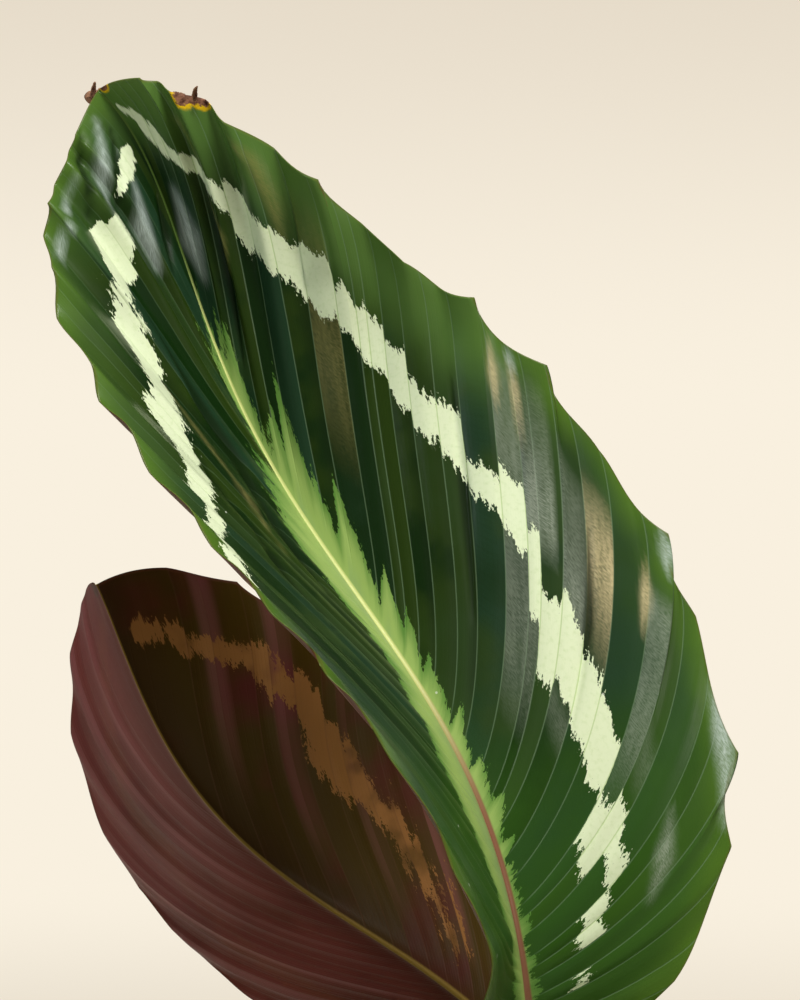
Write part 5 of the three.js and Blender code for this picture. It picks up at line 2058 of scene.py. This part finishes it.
@dataclass(frozen=True)
class Studio:
    """Plain pale floor and backdrop, soft lights and the camera of the photographed view."""

    backdrop: Colour = srgb(249, 240, 223)
    backdrop_high: Colour = srgb(228, 217, 199)
    target: tuple[float, float, float] = (0.0, 0.0, 0.340)
    distance: float = 0.600
    elevation: float = 5.0
    lens: float = 116.75
    ambient: float = 0.28
    ground: Colour = srgb(206, 198, 184)
    rings: tuple[float, ...] = (0.4, 0.8, 1.4, 2.2, 3.2)
    turns: int = 64
    drop: float = 0.0002
    lit: tuple[float, float, float] = (0, 0, 0.28)

    def glow(self, w: Wiring) -> Socket:
        """Strength of the backdrop: full to the camera, less as light on the plant."""
        seen = w.node("ShaderNodeLightPath").outputs["Is Camera Ray"]
        return w.times_plus(seen, 1 - self.ambient, self.ambient)

    def floor(self) -> None:
        """Wide floor whose far part takes the backdrop's own tone, so that no horizon line shows."""
        points, faces = disc(self.rings, self.turns)
        finish = Finish("studio_floor", 0.9, 0.1)
        w, shader = finish.wiring, finish.shader
        shader.inputs["Base Color"].default_value = self.ground
        glow = w.node("ShaderNodeEmission", {"Color": self.backdrop, "Strength": self.glow(w)})
        x, y, _ = w.split(finish.coordinates())
        blend = w.node("ShaderNodeMixShader")
        far = w.smooth(w.length(x, y), 0.45, 1.3)
        for socket, value in zip(blend.inputs, (far, shader.outputs[0], glow.outputs[0])):
            w.feed(socket, value)
        w.feed(w.tree.nodes["Material Output"].inputs["Surface"], blend.outputs[0])
        made = skin_from("studio_floor", points / MM, faces, finish.material)
        made.location.z = -self.drop

    def world(self) -> None:
        """Even backdrop that darkens a little just above the horizon."""
        world = bpy.data.worlds.new("studio")
        bpy.context.scene.world = world
        world.use_nodes = True
        w = Wiring(world.node_tree)
        background = world.node_tree.nodes["Background"]
        height = w.split(w.node("ShaderNodeTexCoord").outputs["Generated"])[2]
        tone = w.mix(w.smooth(height, -0.06, 0.1), self.backdrop, self.backdrop_high)
        w.feed(background.inputs["Color"], tone)
        w.feed(background.inputs["Strength"], self.glow(w))

    def lights(self) -> None:
        """Large softboxes round the plant."""
        target = Vector(self.lit)
        for box in (
            Softbox("key_high", (0.1, -0.85, 2.2), 0.6, 50.0, (1.0, 0.98, 0.94)),
            Softbox("window_left", (-1.5, -0.7, 0.75), 0.45, 6.0, (0.86, 0.94, 1.0)),
            Softbox("fill_right", (1.3, -1.2, 0.65), 0.35, 6.0, (1.0, 0.95, 0.86)),
            Softbox("back_right", (1.1, 1.3, 0.9), 0.8, 9.0, (1.0, 0.96, 0.9)),
        ):
            box.build(target)

    def camera(self) -> None:
        """Camera at the photographed view."""
        angle = math.radians(self.elevation)
        back = Vector((0.0, -math.cos(angle), math.sin(angle)))
        data = bpy.data.cameras.new("camera")
        data.lens = self.lens
        data.sensor_width = 36.0
        data.clip_start, data.clip_end = 0.01, 50.0
        camera = link("camera", data)
        camera.location = Vector(self.target) + back * self.distance
        camera.rotation_mode = "QUATERNION"
        camera.rotation_quaternion = (-back).to_track_quat("-Z", "Y")
        bpy.context.scene.camera = camera

    def build(self) -> None:
        """Builds the whole studio."""
        self.floor()
        self.world()
        self.lights()
        self.camera()
        bpy.context.scene.view_settings.view_transform = "Standard"


# ---- the plant
LOWER_LEAVES = (
    (CROWN_A, -58, 40, 182, 150, 44, 22, 8),
    (CROWN_A, -122, 40, 160, 138, 26, 34, -7),
    (CROWN_B, 176, 42, 186, 146, 36, 30, 6),
    (CROWN_B, 128, 50, 158, 142, 24, 36, -8),
    (CROWN_B, 80, 58, 150, 128, 18, 36, 6),
    (CROWN_A, 28, 48, 158, 136, 24, 34, 6),
    (CROWN_A, -17, 44, 146, 140, 18, 38, -6),
)
CRUMBS = (
    CrumbKind("soil_crumbs", 1.6, 260000, 0.55, 1.5, 0.8, 1, 11),
    CrumbKind("bark_chips", 8.0, 9000, 1.6, 3.6, 0.4, 1, 23),
    CrumbKind("perlite_grains", 7.0, 12000, 0.7, 1.6, 0.85, 2, 37),
)


def dried_scraps(form: BladeForm, finish: Material) -> None:
    """The front leaf's dead tip and the curled scrap at its torn margin.

    Args:
        form: Form of the front leaf.
        finish: Material of the scraps.
    """
    place, tangent, normal, right = (values[0] for values in form.frame_at(np.array([0.995])))
    root, left, up = place - tangent * 1.2, unit(tangent - right), unit(tangent + right)
    starts = 1 - (1 - np.array([0.94, 0.949])) ** (1 / SWEEP)
    notch = form.surface(starts, np.array([0.995, 0.99]), Half.RIGHT)
    (spike_root, scrap_root), leans = notch["point"], notch["lean"]
    for scrap in (
        DriedScrap("dried_tip", root, left, up + normal * 0.3, 4.6, 3.8, 50),
        DriedScrap("dried_tip_spike", root + left * 2.9, up - left * 0.1, left + normal * 0.4, 3.2, 1.0, 35),
        DriedScrap("dried_notch_scrap", scrap_root, up * 0.6 + left * 0.8 + leans[0] * 0.3, up - left * 0.3,
                   2.6, 1.3, 60),
        DriedScrap("dried_notch_spike", spike_root, up + leans[1] * 0.3, left + normal * 0.5, 3.6, 1.2, 75),
    ):
        scrap.build(finish)


def main() -> None:
    """Builds the plant piece by piece, then the studio."""
    logging.basicConfig(level=logging.INFO, format="%(name)s: %(message)s")
    upper, under = UpperLeaf().material(), UnderLeaf().material()
    dried, skin = DriedLeaf().material(), StalkSkin().material()
    relief, sweep, scatter = make_blade_relief(), make_stalk_sweep(), make_crumb_scatter()

    front, rear = front_leaf_form(), rear_leaf_form()
    LeafBlade(1, front, rows_per_pleat=16, columns=44).build(relief, upper, under)
    LeafStalk(1, front, CROWN_A, 50).build(sweep, skin)
    LeafBlade(2, rear, rows_per_pleat=16, columns=44).build(relief, upper, under)
    LeafStalk(2, rear, CROWN_B, 22).build(sweep, skin)
    dried_scraps(front, dried)
    for number, (crown, *numbers) in enumerate(LOWER_LEAVES, start=3):
        form = lower_leaf_form(*numbers)
        way = math.radians(numbers[0])
        foot = (crown[0] + STALK_RING * math.cos(way), crown[1] + STALK_RING * math.sin(way))
        LeafBlade(number, form).build(relief, upper, under)
        LeafStalk(number, form, foot, 16).build(sweep, skin)
    young = StalkSkin(green=srgb(122, 96, 70), pale=srgb(150, 132, 92), joint=srgb(120, 84, 74))
    RolledLeaf().build(skin, young.material())

    pot = Pot()
    pot.build(Terracotta().material())
    soil = Soil(pot)
    dark = Earth("soil_crumb", srgb(74, 54, 40), srgb(28, 20, 15)).material()
    soil.bed(dark)
    finishes = (dark, Earth("bark_chip", srgb(142, 98, 66), srgb(70, 44, 30)).material(),
                Earth("perlite", srgb(238, 234, 224), srgb(196, 188, 174), 0.8).material())
    for kind, finish in zip(CRUMBS, finishes):
        soil.scatter(kind, scatter, finish)
    root_skin = Earth("rootstock_skin", srgb(190, 158, 112), srgb(120, 92, 62)).material()
    for name in ("rootstock_a", "rootstock_b"):
        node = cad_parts[name]
        node.data.materials.clear()
        node.data.materials.append(root_skin)
    Studio().build()


if __name__ == "__main__":
    main()
